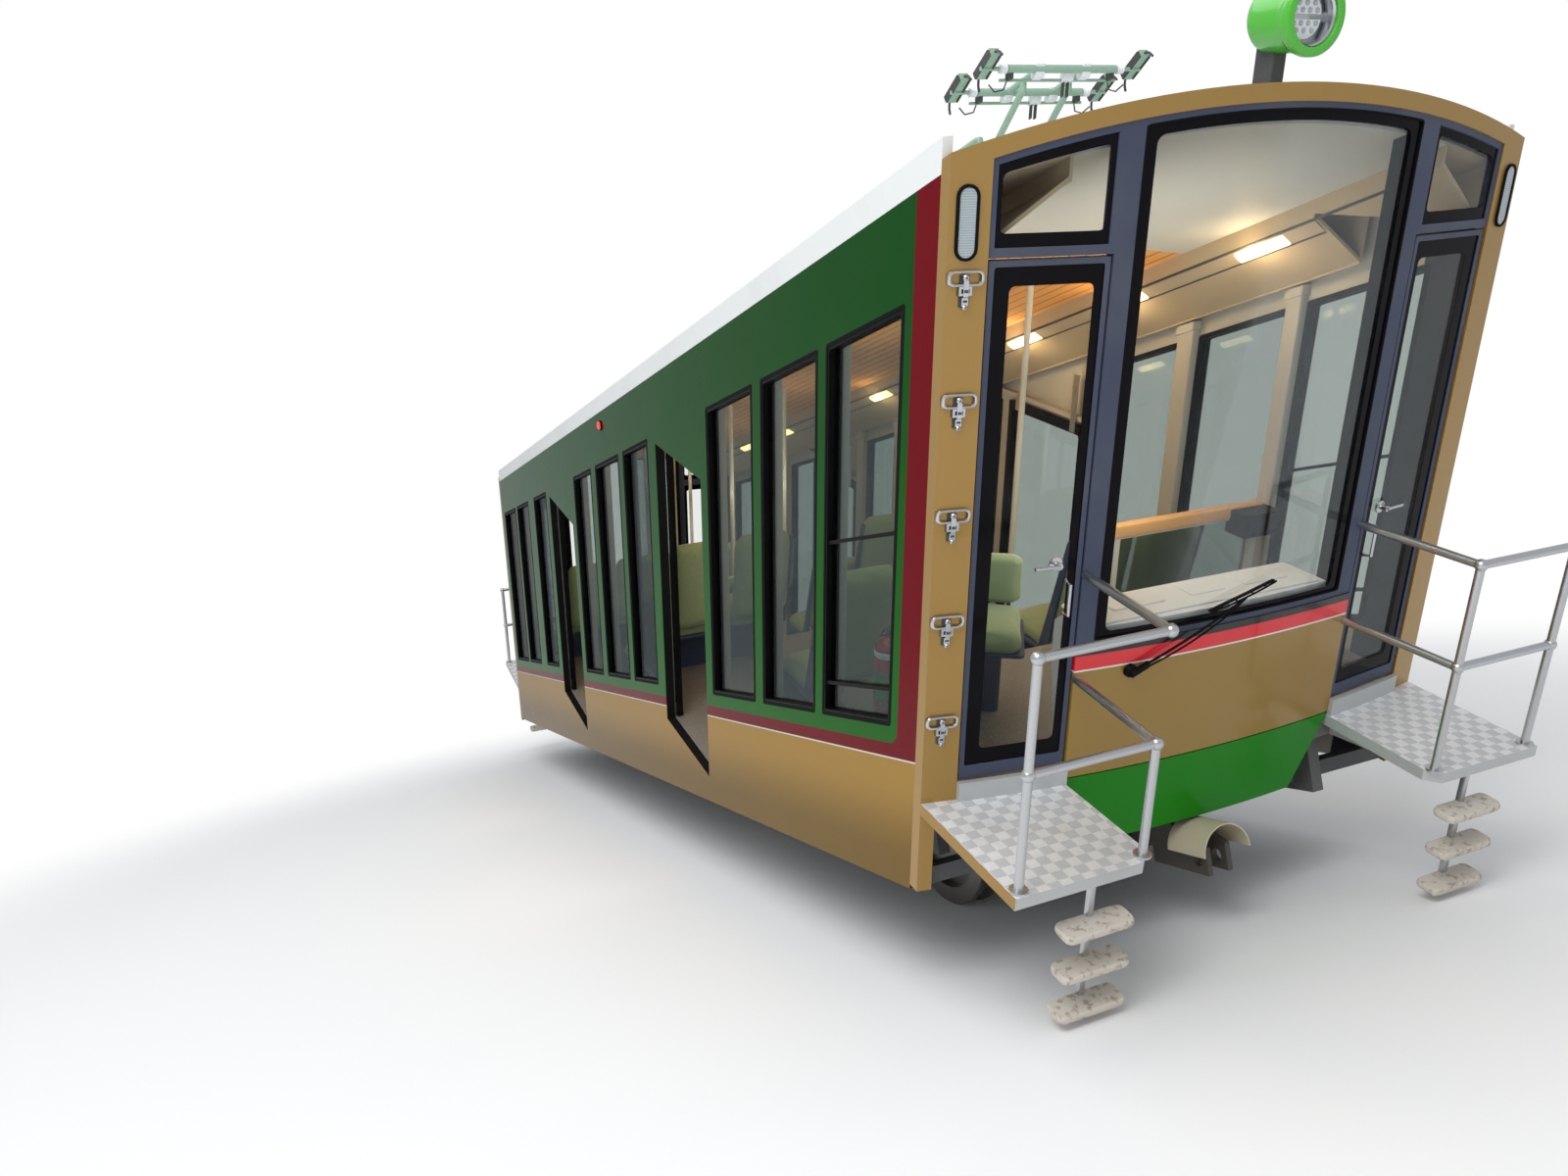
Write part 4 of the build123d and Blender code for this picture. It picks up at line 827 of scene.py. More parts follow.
# %% [markdown]
# ## Side windows
#
# Each side window is a slanted pane in a black rubber frame that fills the cut-out in the panel. The
# frame is a ring between two rounded loops. The first window is in three lights, parted by thin bars
# that run along the rails as its edges do.

# %% Window frames and bars
windows = (
    (-0.285, -0.960), (-1.050, -1.712), (-1.830, -2.520), (-3.665, -4.262), (-4.385, -5.055),
    (-5.205, -5.795), (-6.935, -7.500), (-7.800, -8.400), (-8.500, -9.150),
)
window_low, window_high = 0.28, 1.94
leaf_travel = ((-4.041, -2.429), (-7.090, -5.478))   # where the sliding leaves go, kept free
leaf_room = 0.008


def window_loop(upper, lower, inset, radius):
    """The slanted loop of a side window, inset all round: its ends upright, its edges along the rails."""
    return opening(
        lower * run + inset, upper * run - inset,
        lambda along: window_low + inset / run + along * grade,
        lambda along: window_high - inset / run + along * grade, radius)


for name, hand in flanks.items():
    place = flat_side(hand)
    frames = sum(
        ring_of(window_loop(upper, lower, 0.0005, 0.034), window_loop(upper, lower, 0.024, 0.009), place,
                0.001, 0.036)
        for upper, lower in windows)
    lips = sum(
        ring_of(window_loop(upper, lower, -0.004, 0.014), window_loop(upper, lower, 0.012, 0.010), place,
                -0.0015, 0.004)
        for upper, lower in windows)
    piece("window_frames_" + name, frames, black_trim, bevel=0.002)
    piece("window_gaskets_" + name, lips, soft_rubber, bevel=0.0015)
    inner = sum(
        ring_of(window_loop(upper, lower, -0.004, 0.02), window_loop(upper, lower, 0.020, 0.012), place,
                wall - 0.020, wall + 0.004)
        for upper, lower in windows)
    piece("window_trims_" + name, inner, black_trim, bevel=0.002)
    pillars, caps = [], []
    for (_, before), (after, _) in zip(windows, windows[1:]):
        low, high = after * run - 0.004, before * run + 0.004
        for bottom, top in leaf_travel:
            if low < top + leaf_room and high > bottom - leaf_room:
                low, high = max(((low, bottom - leaf_room), (top + leaf_room, high)),
                                key=lambda span: span[1] - span[0])
        if 0.03 < high - low < 0.2:
            for store, grow, deep, rises in ((pillars, 0.0, 0.052, (window_low - 0.03, 2.022)),
                                             (caps, 0.006, 0.062, (1.975, 2.024))):
                loop = rounded(((low - grow, wall + 0.001), (high + grow, wall + 0.001),
                                (high + grow, wall + deep), (low - grow, wall + deep)), 0.010)
                store.append(slab(*(
                    place(loop[:, 0], rise + loop[:, 0] * grade, loop[:, 1]) for rise in rises)))
    piece("window_pillars_" + name, sum(pillars), wall_beige, bevel=0.002)
    piece("pillar_caps_" + name, sum(caps), wall_beige, bevel=0.003)
    upper, lower = windows[0]
    along = np.linspace(lower * run + 0.02, upper * run - 0.02, 3)
    bars = sum(
        panel(along, rise - 0.009 + along * grade, rise + 0.009 + along * grade, place, 0.008, 0.034)
        for rise in (1.097, 0.437))
    piece("window_bars_" + name, bars, black_trim, bevel=0.002)
print("window frames", len(windows) * len(flanks))


# %% [markdown]
# ## Bowed glazing at the ends
#
# The windscreen and the panes beside it have printed black borders, much wider than the metal frame
# round them. Behind the windscreen a deep black jamb goes back at each side, which is what shows as a
# broad dark band at the right of the photograph.

# %% Printed borders, gaskets and jambs
screen_half, arch_band, frame_edge = 0.624, 0.060, 0.022
glazed = arch_band + frame_edge
post_outer, pillar = 0.700, 0.142
door_edge = half - pillar
for name, end in ends.items():
    place = bowed(end)
    borders = ring_of(
        opening(-screen_half, screen_half, 0.571, crest(end, glazed), 0.012, 33),
        opening(-screen_half + 0.050, screen_half - 0.050, 0.60, crest(end, glazed + 0.040), 0.03, 33),
        place, 0.0125, 0.0138)
    for hand in (-1, 1):
        outer, inner = sorted((hand * (post_outer + frame_edge), hand * (door_edge - frame_edge)))
        borders += ring_of(
            opening(outer, inner, 2.045, crest(end, glazed), 0.010, 15),
            opening(outer + 0.020, inner - 0.020, 2.09, crest(end, glazed + 0.036), 0.018, 15),
            place, 0.0125, 0.0138)
    piece("glass_borders_" + name, borders, black_glass_border)
    gasket = ring_of(
        opening(-screen_half, screen_half, 0.571, crest(end, glazed), 0.012, 33),
        opening(-screen_half + 0.006, screen_half - 0.006, 0.577, crest(end, glazed + 0.006), 0.010, 33),
        place, 0.004, 0.013)
    piece("screen_gasket_" + name, gasket, soft_rubber)
    jambs = sum(
        plate_on(place, np.array(((0.602, 0.575), (0.645, 0.575), (0.645, 2.40), (0.602, 2.40))) * (hand, 1),
                 0.052, 0.112)
        for hand in (-1, 1))
    piece("screen_jambs_" + name, jambs, black_trim, bevel=0.003)


# %% [markdown]
# ## End doors
#
# Each end has two hinged glass doors. A leaf is a slim slate frame round one pane with a wide black
# border, three knuckles on its hinge line, a lever and a short grab tube. The same function makes all
# four, and each stands for its CAD leaf and moves with it.

# %% Leaves, panes, borders and handles
door_gap, door_low, door_head, leaf_depth = 0.008, 0.045, 2.013, 0.040


def leaf_place(end, hand):
    """Placing on a door leaf: from its hinge edge, upwards and back from its outside face."""
    outer_edge, inner_edge = door_edge - door_gap, post_outer + door_gap
    outer = on_end(end, hand * outer_edge, bow(outer_edge) - door_gap, 0.0)
    lock = on_end(end, hand * inner_edge, bow(inner_edge) - door_gap, 0.0)
    width = float(np.linalg.norm(lock - outer))
    along = (lock - outer) / width
    facing = np.cross(directions["upright"], along) * hand
    return width, lambda at, rise, depth: (
        outer + np.multiply.outer(np.asarray(at, float), along)
        + np.multiply.outer(np.asarray(rise, float), directions["upright"])
        - np.multiply.outer(np.broadcast_to(np.asarray(depth, float), np.shape(at)), facing)
    ), facing


for name, end in ends.items():
    for side_name, hand in (("left", -1), ("right", 1)):
        width, place, facing = leaf_place(end, hand)
        body = "end_door_%s_%s" % (name, side_name)
        top = door_head - door_gap
        edge_loop = opening(0.0, width, door_low, top, 0.006)
        frame_loop = opening(0.022, width - 0.020, door_low + 0.055, top - 0.022, 0.010)
        clear_loop = opening(0.082, width - 0.052, door_low + 0.120, top - 0.086, 0.022)
        leaf_frame = ring_of(edge_loop, frame_loop, place, 0.0, leaf_depth)
        pin = place(0.0, 0.0, leaf_depth)
        for rise in (door_low + 0.070, door_head / 2, door_head - 0.140):
            knuckle = pin + directions["upright"] * rise
            leaf_frame += tube(np.stack((knuckle, knuckle + directions["upright"] * 0.070)), 0.0077)
        piece(body + "_frame", leaf_frame, slate, body, (body,), bevel=0.002)
        piece(body + "_border", ring_of(frame_loop, clear_loop, place, 0.0065, 0.0078), black_glass_border,
              body)
        piece(body + "_pane", plate_on(place, frame_loop, 0.008, 0.016), end_pane, body)
        gasket_loop = opening(0.018, width - 0.016, door_low + 0.051, top - 0.018, 0.012)
        piece(body + "_gasket", ring_of(gasket_loop, frame_loop, place, 0.003, 0.010), soft_rubber, body)
        at = width - 0.105
        handle = turned([(0.001, 0.0), (0.026, 0.0), (0.026, 0.007), (0.012, 0.010), (0.012, 0.040),
                         (0.001, 0.040)], place(at, 0.906, 0.0065), facing)
        lever = place(at - np.array((0.0, 0.035, 0.10)), np.full(3, 0.906), np.full(3, -0.032))
        handle += tube(lever, 0.0075)
        grip = place(np.full(4, width - 0.055), np.array((0.70, 0.705, 0.83, 0.835)),
                     np.array((0.0065, -0.030, -0.030, 0.0065)))
        handle += tube(grip, 0.007)
        piece(body + "_handle", handle, bright_steel, body)
print("end doors", 4)

# %% [markdown]
# ## Headlamps
#
# A vivid green barrel with a broad flat rim sits on a dark square post. Inside it is a cluster in two
# halves, each a white plate with small round lenses. The barrel is a turned profile, and one small dome
# is repeated over rows of places for the lenses.

# %% Barrels, posts, rims and lens clusters
lamp_rise, lamp_rim = crown + 0.254, 0.1265


def dome(centres, direction, radius, height, sides=10):
    """Small domes at many centres: rings whose radius falls by a cosine as they rise by a sine."""
    swell = np.radians((0.0, 30.0, 60.0, 82.0))
    profile = np.stack((radius * np.cos(swell), height * np.sin(swell)), axis=-1)
    return sum(turned(profile, centre, direction, sides) for centre in centres)


def fan_of(rows):
    """Places of lenses, across and up: rows of (height, how many, half spread) about the middle."""
    return np.concatenate([
        np.stack((np.linspace(-1, 1, count) * spread, np.full(count, height)), axis=-1)
        for height, count, spread in rows])


for name, end in ends.items():
    centre = on_end(end, 0.0, 0.0, lamp_rise)
    facing = directions["level"] * end
    barrel = turned([
        (0.030, -0.105), (0.070, -0.103), (0.092, -0.094), (0.105, -0.078), (0.112, -0.055), (0.113, 0.060),
        (0.115, 0.078), (0.120, 0.086), (0.124, 0.092), (lamp_rim, 0.100), (lamp_rim, 0.124), (0.125, 0.128),
        (0.121, 0.130), (0.098, 0.130), (0.095, 0.127), (0.093, 0.060), (0.030, 0.058)], centre, facing, 48)
    piece("headlamp_barrel_" + name, barrel, lamp_green, stands_for=("headlamps",),
          bevel=0.0015)
    rim = turned([(0.0925, 0.062), (0.0925, 0.118), (0.086, 0.112), (0.084, 0.064)], centre, facing, 40)
    piece("headlamp_inner_ring_" + name, rim, bright_steel)
    half_turn = np.linspace(0.06, np.pi - 0.06, 17)
    plates = sum(
        slab(*(centre + facing * depth
               + np.multiply.outer(0.070 * np.cos(half_turn), directions["across"] * end)
               + np.multiply.outer(way * (0.004 + 0.066 * np.sin(half_turn)), directions["upright"])
               for depth in (0.066, 0.078)))
        for way in (1, -1))
    piece("headlamp_cluster_" + name, plates, desk_white, bevel=0.002)
    places = fan_of(((0.020, 4, 0.048), (0.042, 3, 0.034), (-0.020, 4, 0.048), (-0.042, 3, 0.034)))
    centres = (centre + facing * 0.078 + np.multiply.outer(places[:, 0], directions["across"])
               + np.multiply.outer(places[:, 1], directions["upright"]))
    piece("headlamp_lenses_" + name, dome(centres, facing, 0.0095, 0.007), lamp_face)
    foot_out = -0.055
    foot = crown + end * foot_out * grade - 0.004
    loop = rounded(((-0.030, -0.045), (0.030, -0.045), (0.030, 0.045), (-0.030, 0.045)), 0.008)
    post = slab(*(on_end(end, loop[:, 0], foot_out + loop[:, 1], rise)
                  for rise in (foot - 0.02, lamp_rise - 0.09)))
    piece("headlamp_post_" + name, post, box_black)
    loop = rounded(((-0.060, -0.075), (0.060, -0.075), (0.060, 0.075), (-0.060, 0.075)), 0.015)
    collar = slab(*(on_end(end, loop[:, 0], foot_out + loop[:, 1], rise + end * loop[:, 1] * grade)
                    for rise in (foot - 0.006, foot + 0.010)))
    piece("headlamp_foot_" + name, collar, frame_grey, bevel=0.002)
print("headlamp lenses", len(places) * 2)


# %% [markdown]
# ## Draw latches and marker lamps on the end posts
#
# Each latch is a polished oval ring hung on a cross-shaped hook, over a folded base plate with a small
# toggle. One latch is drawn once, flat, and then laid on the bowed post at each of the five heights.

# %% Latches
latch_across, latch_rises = 1.236, (0.315, 0.729, 1.136, 1.548, 1.955)
oval = rounded(((-0.062, -0.026), (0.062, -0.026), (0.062, 0.026), (-0.062, 0.026)), 0.022, 7)
turn_of_wire = np.linspace(0, 2 * np.pi, 8, endpoint=False)


def latch_plate(corners, across, rise, place, near, deep, radius=0.004):
    """A small plate with rounded corners, laid on the post."""
    return plate_on(place, rounded(corners, radius) + (across, rise), near, deep)


for name, end in ends.items():
    place = bowed(end)
    rings, plates, shade_backs, pins = [], [], [], []
    for rise in latch_rises:
        middle = place(-latch_across + oval[:, 0], rise + oval[:, 1], -0.0095)
        inner = place(-latch_across + oval[:, 0] * 0.84, rise + oval[:, 1] * 0.66, -0.0095)
        around = middle - inner
        around /= np.linalg.norm(around, axis=1, keepdims=True)
        out = directions["level"] * end
        wire = 0.0064
        rings.append(skin(np.stack([
            (middle + inner) / 2 + wire * (np.cos(angle) * around + np.sin(angle) * out)
            for angle in turn_of_wire], axis=0), wrap=True))
        at = (-latch_across, rise)
        # The black plates are painted shade: one behind each latch for its shadow, and small ones in its
        # slots.
        for width, low, high, near, deep, store in (
                (0.017, -0.094, 0.010, -0.0035, 0.001, shade_backs), (0.023, -0.058, -0.026, -0.0035, 0.001, shade_backs),
                (0.009, -0.060, -0.006, -0.0170, -0.0040, plates),
                (0.021, -0.034, -0.026, -0.0130, -0.0036, plates),
                (0.021, -0.056, -0.048, -0.0130, -0.0036, plates),
                (0.011, -0.090, -0.062, -0.0120, -0.0036, plates),
                (0.0065, -0.046, -0.036, -0.0180, -0.0165, shade_backs),
                (0.007, -0.078, -0.070, -0.0128, -0.0110, shade_backs)):
            store.append(latch_plate(((-width, low), (width, low), (width, high), (-width, high)), *at, place,
                                     near, deep, 0.0025))
        for hand in (-1, 1):
            plates.append(latch_plate(((-0.004, -0.056), (0.004, -0.056), (0.004, -0.026), (-0.004, -0.026)),
                                      at[0] + hand * 0.018, at[1], place, -0.0130, -0.0036, 0.0015))
        plates += [turned([(0.001, -0.002), (radius, -0.002), (radius, 0.010), (radius - 0.003, 0.014),
                           (0.001, 0.0142)], place(at[0], at[1] + lift, -0.0036), out, 16)
                   for lift, radius in ((0.002, 0.0115), (-0.094, 0.0095))]
        pins.append(dome(place(np.full(2, at[0]), rise + np.array((0.002, -0.094)), np.full(2, -0.0178)), out,
                         0.0050, 0.0016, 12))
    piece("draw_latch_rings_" + name, sum(rings), bright_steel,
          stands_for=("draw_latches",))
    piece("draw_latch_plates_" + name, sum(plates), bright_steel, bevel=0.0008)
    # Painted shade: black plates behind and inside each latch.
    piece("draw_latch_backs_" + name, sum(shade_backs), box_black)
    piece("draw_latch_pins_" + name, sum(pins), wheel_steel)
print("latches", len(latch_rises) * len(ends))


# %% Capsule lamps and side lamps
def capsule(width, height, steps=9):
    """A loop of two half circles joined by straight sides."""
    turn = np.linspace(0, np.pi, steps)
    radius = width / 2
    top = np.stack((radius * np.cos(turn), height / 2 - radius + radius * np.sin(turn)), axis=-1)
    return np.concatenate((top, -top))


for name, end in ends.items():
    place = bowed(end)
    for side_name, across in (("left", -1.238), ("right", 1.238)):
        outer, inner, face_loop = capsule(0.076, 0.240), capsule(0.058, 0.222), capsule(0.057, 0.221)
        spots = [loop + (across, 2.128) for loop in (outer, inner, face_loop)]
        piece("capsule_rim_%s_%s" % (name, side_name), ring_of(spots[0], spots[1], place, -0.010, 0.001),
              soft_rubber, stands_for=("marker_lamps",), bevel=0.002)
        piece("capsule_lens_%s_%s" % (name, side_name), plate_on(place, spots[2], -0.006, 0.0), capsule_lens,
              bevel=0.002)
for name, hand in flanks.items():
    spot = on_flank(-4.810, 2.201, hand * half)
    way = directions["across"] * hand
    piece("side_lamp_base_" + name, turned([(0.034, -0.001), (0.034, 0.008), (0.029, 0.011)], spot, way, 28),
          soft_rubber)
    piece("side_lamp_lens_" + name, turned(
        [(0.027, 0.008), (0.027, 0.014), (0.022, 0.021), (0.012, 0.0235), (0.004, 0.024)], spot, way, 28),
        red_lamp)
print("marker lamps", 6)


# %% [markdown]
# ## Cabin lining, coves and lamps
#
# Where the ceiling meets the walls a sloping panel comes down to the window tops, with a dark joint and
# a row of warm lamps along it. Everything here runs along the rails, so each is one section carried
# from end to end of the cabin.

# %% Coves, joints and lamp segments
def along_rails(section, near, far, hand=1):
    """A section of (across, rise) points carried along the rails between two stations."""
    section = np.asarray(section, float)
    return slab(*(on_flank(station, section[:, 1], hand * section[:, 0]) for station in (near, far)))


cove_start, cove_end, cove_head, cove_foot = 0.860, 1.170, crown - 0.258, crown - 0.465
cover_length, cover_stations = 0.30, np.arange(-0.80, -8.4, -0.98)


def cove_face(across):
    """Rise of the sloping cove at a distance from the middle: a straight line between its edges."""
    return cove_head - (across - cove_start) * (cove_head - cove_foot) / (cove_end - cove_start)


for name, hand in flanks.items():
    for edge_name, edge, begin in (("upper", 0.936, -0.62), ("top", 0.848, -0.16)):
        low = cove_face(edge) if edge > cove_start else cove_head
        bead = along_rails([(edge, low + 0.002), (edge, low - 0.003), (edge + 0.006, low - 0.009),
                            (edge + 0.012, low - 0.010), (edge + 0.012, low + 0.002)], begin, -9.17, hand)
        piece("cove_bead_%s_%s" % (edge_name, name), bead, box_black)
    trough = along_rails([(across, cove_face(across) + lift) for across, lift in (
        (0.861, 0.001), (0.861, -0.010), (0.929, -0.010), (0.929, 0.001))], -0.61, -8.74, hand)
    piece("lamp_channel_" + name, trough, cove_beige)
    covers = sum(
        along_rails([(across, cove_face(across) - drop) for across, drop in (
            (0.866, 0.008), (0.868, 0.019), (0.878, 0.023), (0.912, 0.023), (0.923, 0.018), (0.925, 0.008))],
                    station, station - cover_length, hand)
        for station in cover_stations)
    piece("lamp_covers_" + name, covers, warm_lamp, bevel=0.003,
          stands_for=("cabin_lamps",))
print("lamp covers", 2 * len(cover_stations))


# %% [markdown]
# ## Seats
#
# Benches for two stand on the stepped floor, facing downhill. A cushion is a crowned closed form whose
# sides pull in between its corners: a cube's grid is pushed out by a power of its distance from the
# middle. One cushion and one back swell as cloth under pressure, and are then laid in every place.

# %% Cushions, backs and plinths
def pillow(first, second, third, crownness=0.35, count=13):
    """A cube's six grids, rounded by a power curve and crowned in the middle of each broad face."""
    line = np.linspace(-1, 1, count)
    across, up = np.meshgrid(line, line, indexing="ij")
    one = np.ones_like(across)
    faces = []
    for axis in range(3):
        for sign in (-1, 1):
            grid = [None, None, None]
            grid[axis] = one * sign
            grid[(axis + 1) % 3], grid[(axis + 2) % 3] = across, up
            faces.append(np.stack(grid, axis=-1))
    cube = np.stack(faces)
    power = np.array((9.0, 9.0, 3.2))
    size = (np.abs(cube) ** power).sum(axis=-1, keepdims=True) ** (1 / 5.0)
    soft = cube / size
    waist = 1 - 0.035 * (1 - cube[..., 0:1] ** 2) * np.abs(cube[..., 1:2]) ** 3
    soft[..., 1:2] *= waist
    soft[..., 2] *= 1 + crownness * (1 - cube[..., 0] ** 2) * (1 - cube[..., 1] ** 2)
    half_sizes = np.array((first, second, third))
    cover = swollen(sum(skin(face, around=False) for face in soft * half_sizes))
    return Shape(cover.points / half_sizes, cover.quads)


def laid(form, origin, first, second, third):
    """A form in units of its half sizes, put at an origin along three half edges."""
    ways = np.stack([np.asarray(way, float) for way in (first, second, third)])
    return Shape(np.asarray(origin, float) + form.points @ ways, form.quads)


def swollen(shape, most=0.012, pressure=4.0):
    """Cloth under pressure from inside: the closed skin swells, and no point moves more than a limit."""
    mesh = bpy.data.meshes.new("swelling")
    mesh.from_pydata(shape.points, [], shape.quads.tolist())
    work = bmesh.new()
    work.from_mesh(mesh)
    bmesh.ops.remove_doubles(work, verts=work.verts, dist=0.0004)
    bmesh.ops.recalc_face_normals(work, faces=work.faces)
    work.to_mesh(mesh)
    work.free()
    start = np.zeros(len(mesh.vertices) * 3)
    mesh.vertices.foreach_get("co", start)
    start = start.reshape(-1, 3)
    quads = np.array([face.vertices[:] for face in mesh.polygons])
    after = start
    skin_object = bpy.data.objects.new("swelling", mesh)
    bpy.context.scene.collection.objects.link(skin_object)
    cover = skin_object.modifiers.new("cover", "CLOTH")
    cover.settings.quality = 6
    cover.settings.mass = 0.25
    cover.settings.tension_stiffness = cover.settings.compression_stiffness = 12.0
    cover.settings.bending_stiffness = 0.6
    cover.settings.use_pressure = True
    cover.settings.uniform_pressure_force = pressure
    cover.settings.effector_weights.gravity = 0.0
    for step in range(1, 21):
        bpy.context.scene.frame_set(step)
    settled = skin_object.evaluated_get(bpy.context.evaluated_depsgraph_get())
    after = np.zeros(len(mesh.vertices) * 3)
    settled.data.vertices.foreach_get("co", after)
    moved = after.reshape(-1, 3) - start
    far = np.linalg.norm(moved, axis=1, keepdims=True)
    after = start + moved * np.minimum(1.0, most / np.maximum(far, 1e-9))
    bpy.data.objects.remove(skin_object)
    bpy.context.scene.frame_set(1)
    print("swelled", len(start), "points by up to", round(float(min(far.max(), most)), 4))
    bpy.data.meshes.remove(mesh)
    return Shape(after, quads)


def padding(name, shape):
    """A padded piece: a closed skin with its finish, subdivided once."""
    soft = piece(name, shape, seat_cloth, angle=80)
    smooth = soft.modifiers.new("smooth", "SUBSURF")
    smooth.levels = smooth.render_levels = 1
    return soft


def seat_rows():
    """Front edges and drops of the bench rows, from the same stairs as the floor."""
    first, second, lower = (0.950, 2.400), (4.110, 5.449), (7.159, length * run - 0.545)
    drops = (0.0, 1.275, 1.275 + 3.049 * grade, length * climb)
    places = []
    for (stop, begin), drop, below, steps in (
            (first, drops[0], drops[1], (3,)), (second, drops[1], drops[2], (0, 3)),
            (lower, drops[2], drops[3], (0, 2))):
        risers = round((below - drop) / 0.215)
        places += [(stop + step * (begin - stop) / (risers - 1), drop + step * (below - drop) / risers)
                   for step in steps]
    return places


def seat(name, front_edge, drop, left, right, high=0.43, back=1.08, lean=0.09):
    """One seat: a level cushion and a back that leans by a given length over its height."""
    middle, width = (left + right) / 2, abs(right - left) / 2 - 0.010
    base = in_level(-front_edge + 0.235, high - 0.045 - drop, middle)
    cushion = laid(seat_form, base, directions["level"] * 0.205, directions["across"] * width,
                   directions["upright"] * 0.050)
    top = in_level(-front_edge + 0.46 + lean * 0.5, (high + back) / 2 - 0.01 - drop, middle)
    tilt = directions["upright"] * (back - high) / 2 + directions["level"] * lean / 2
    rest = laid(back_form, top, tilt, directions["across"] * width, directions["level"] * 0.038)
    padding(name + "_cushion", cushion)
    padding(name + "_back", rest)


seat_form = pillow(0.205, 0.215, 0.048)
back_form = pillow(0.325, 0.215, 0.036, 0.25)
seats = 0
plinths = []
for row, (place, drop) in enumerate(seat_rows()):
    for name, hand in flanks.items():
        for spot, (left, right) in enumerate(((0.25, 0.70), (0.70, 1.15))):
            seat("seat_%d_%s_%d" % (row, name, spot), place, drop, hand * left, hand * right)
            seats += 1
        for low, high, near, far in ((0.0, 0.335, 0.055, 0.20), (0.332, 0.352, 0.03, 0.44)):
            loop = rounded(((hand * 0.262, -place + near), (hand * 1.14, -place + near),
                            (hand * 1.14, -place + far), (hand * 0.262, -place + far)), 0.012)
            plinths.append(slab(*(in_level(loop[:, 1], rise - drop, loop[:, 0]) for rise in (low, high))))
        for across in (0.27, 1.13):
            loop = rounded(((-place + 0.36, 0.33 - drop), (-place + 0.44, 0.33 - drop),
                            (-place + 0.575, 1.02 - drop), (-place + 0.545, 1.02 - drop)), 0.012)
            plinths.append(slab(*(in_level(loop[:, 0], loop[:, 1], hand * (across + shift))
                                  for shift in (-0.008, 0.008))))
piece("seat_plinths", sum(plinths), seat_blue, stands_for=("seats",), bevel=0.002)


# %% Attendant's low seat, turned towards the door
stool_behind, stool_across, stool_turn = 0.568, -0.703, math.radians(-33.0)
stool_ways = (
    math.cos(stool_turn) * directions["level"] + math.sin(stool_turn) * directions["across"],
    math.cos(stool_turn) * directions["across"] - math.sin(stool_turn) * directions["level"],
    directions["upright"],
)
stool_foot = in_level(-stool_behind, 0.0, stool_across)


def on_stool(ahead, beside, rise):
    """Point of the attendant's seat in its own turned directions."""
    return stool_foot + sum(np.multiply.outer(np.asarray(value, float), way)
                            for value, way in zip((ahead, beside, rise), stool_ways))


padding("attendant_cushion", laid(seat_form, on_stool(0.008, 0.0, 0.368), stool_ways[0] * 0.196,
                                  stool_ways[1] * 0.188, stool_ways[2] * 0.044))
padding("attendant_back", laid(back_form, on_stool(-0.186, 0.0, 0.530),
                               stool_ways[2] * 0.114 - stool_ways[0] * 0.008, stool_ways[1] * 0.184,
                               stool_ways[0] * 0.032))
loop = rounded(((-0.205, -0.19), (0.20, -0.19), (0.20, 0.19), (-0.205, 0.19)), 0.03)
stand = plate_on(on_stool, loop, np.full(len(loop), 0.322), np.full(len(loop), 0.336))
loop = rounded(((-0.075, -0.10), (0.075, -0.10), (0.075, 0.10), (-0.075, 0.10)), 0.03)
stand += plate_on(on_stool, loop, np.full(len(loop), 0.0), np.full(len(loop), 0.324))
for beside in (-0.12, 0.12):
    stand += tube(on_stool(np.array((-0.10, -0.17, -0.218, -0.222, -0.226)), np.full(5, beside),
                           np.array((0.318, 0.326, 0.36, 0.45, 0.60))), 0.010)
piece("attendant_seat_stand", stand, seat_blue, stands_for=("attendant_seat",),
      bevel=0.002)
print("seats", seats + 1)


# %% [markdown]
# ## Sliding side doors
#
# Each leaf is a black frame round a tall pane, hung on two rollers that run on the wall's track. The
# platform's leaves stand open behind the windows and the far ones are shut, as on the solids.

# %% Leaves, panes and rollers
doorways = {"upper": (2.445, 1.275), "lower": (5.494, 1.275 + 3.049 * grade)}
door_travel, roller_drop = 0.790, 0.0275
for name, hand in flanks.items():
    for level_name, (behind, drop) in doorways.items():
        body = "side_door_%s_%s" % (name, level_name)
        slid = door_travel if name == "station" else 0.0
        near, far = -behind + 0.016 - slid, -behind - 0.806 - slid
        low, high = 0.008 - drop, 1.866 - drop
        place = flat_side(hand)
        outer_loop = opening(far, near, low, high, 0.008)
        clear_loop = opening(far + 0.048, near - 0.048, low + 0.095, high - 0.052, 0.030)
        piece(body + "_frame", ring_of(outer_loop, clear_loop, place, 0.0725, 0.1075), black_trim, body,
              (body,), bevel=0.003)
        seat_loop = opening(far + 0.046, near - 0.046, low + 0.093, high - 0.050, 0.031)
        piece(body + "_pane", plate_on(place, seat_loop, 0.086, 0.094), side_pane, body)
        edge_loop = opening(far + 0.058, near - 0.058, low + 0.105, high - 0.062, 0.024)
        piece(body + "_gasket", ring_of(clear_loop, edge_loop, place, 0.080, 0.100), soft_rubber, body,
              bevel=0.0015)
        kick = opening(far + 0.02, near - 0.02, low + 0.012, low + 0.085, 0.006)
        piece(body + "_kickplate", plate_on(place, kick, 0.0722, 0.0735), rail_steel, body)
        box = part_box(body)
        for number, at in enumerate((near - 0.112, far + 0.112)):
            wheel_rise = (box[1][2] - roller_drop * run - sill + at * climb) / run
            hanger = opening(at - 0.026, at + 0.026, high - 0.05, wheel_rise + 0.010, 0.006)
            piece("%s_hanger_%d" % (body, number), plate_on(place, hanger, 0.1085, 0.1135), rail_steel, body)
print("side doors", [len(doorways) * len(flanks), [round(value, 3) for value in box[1]]])


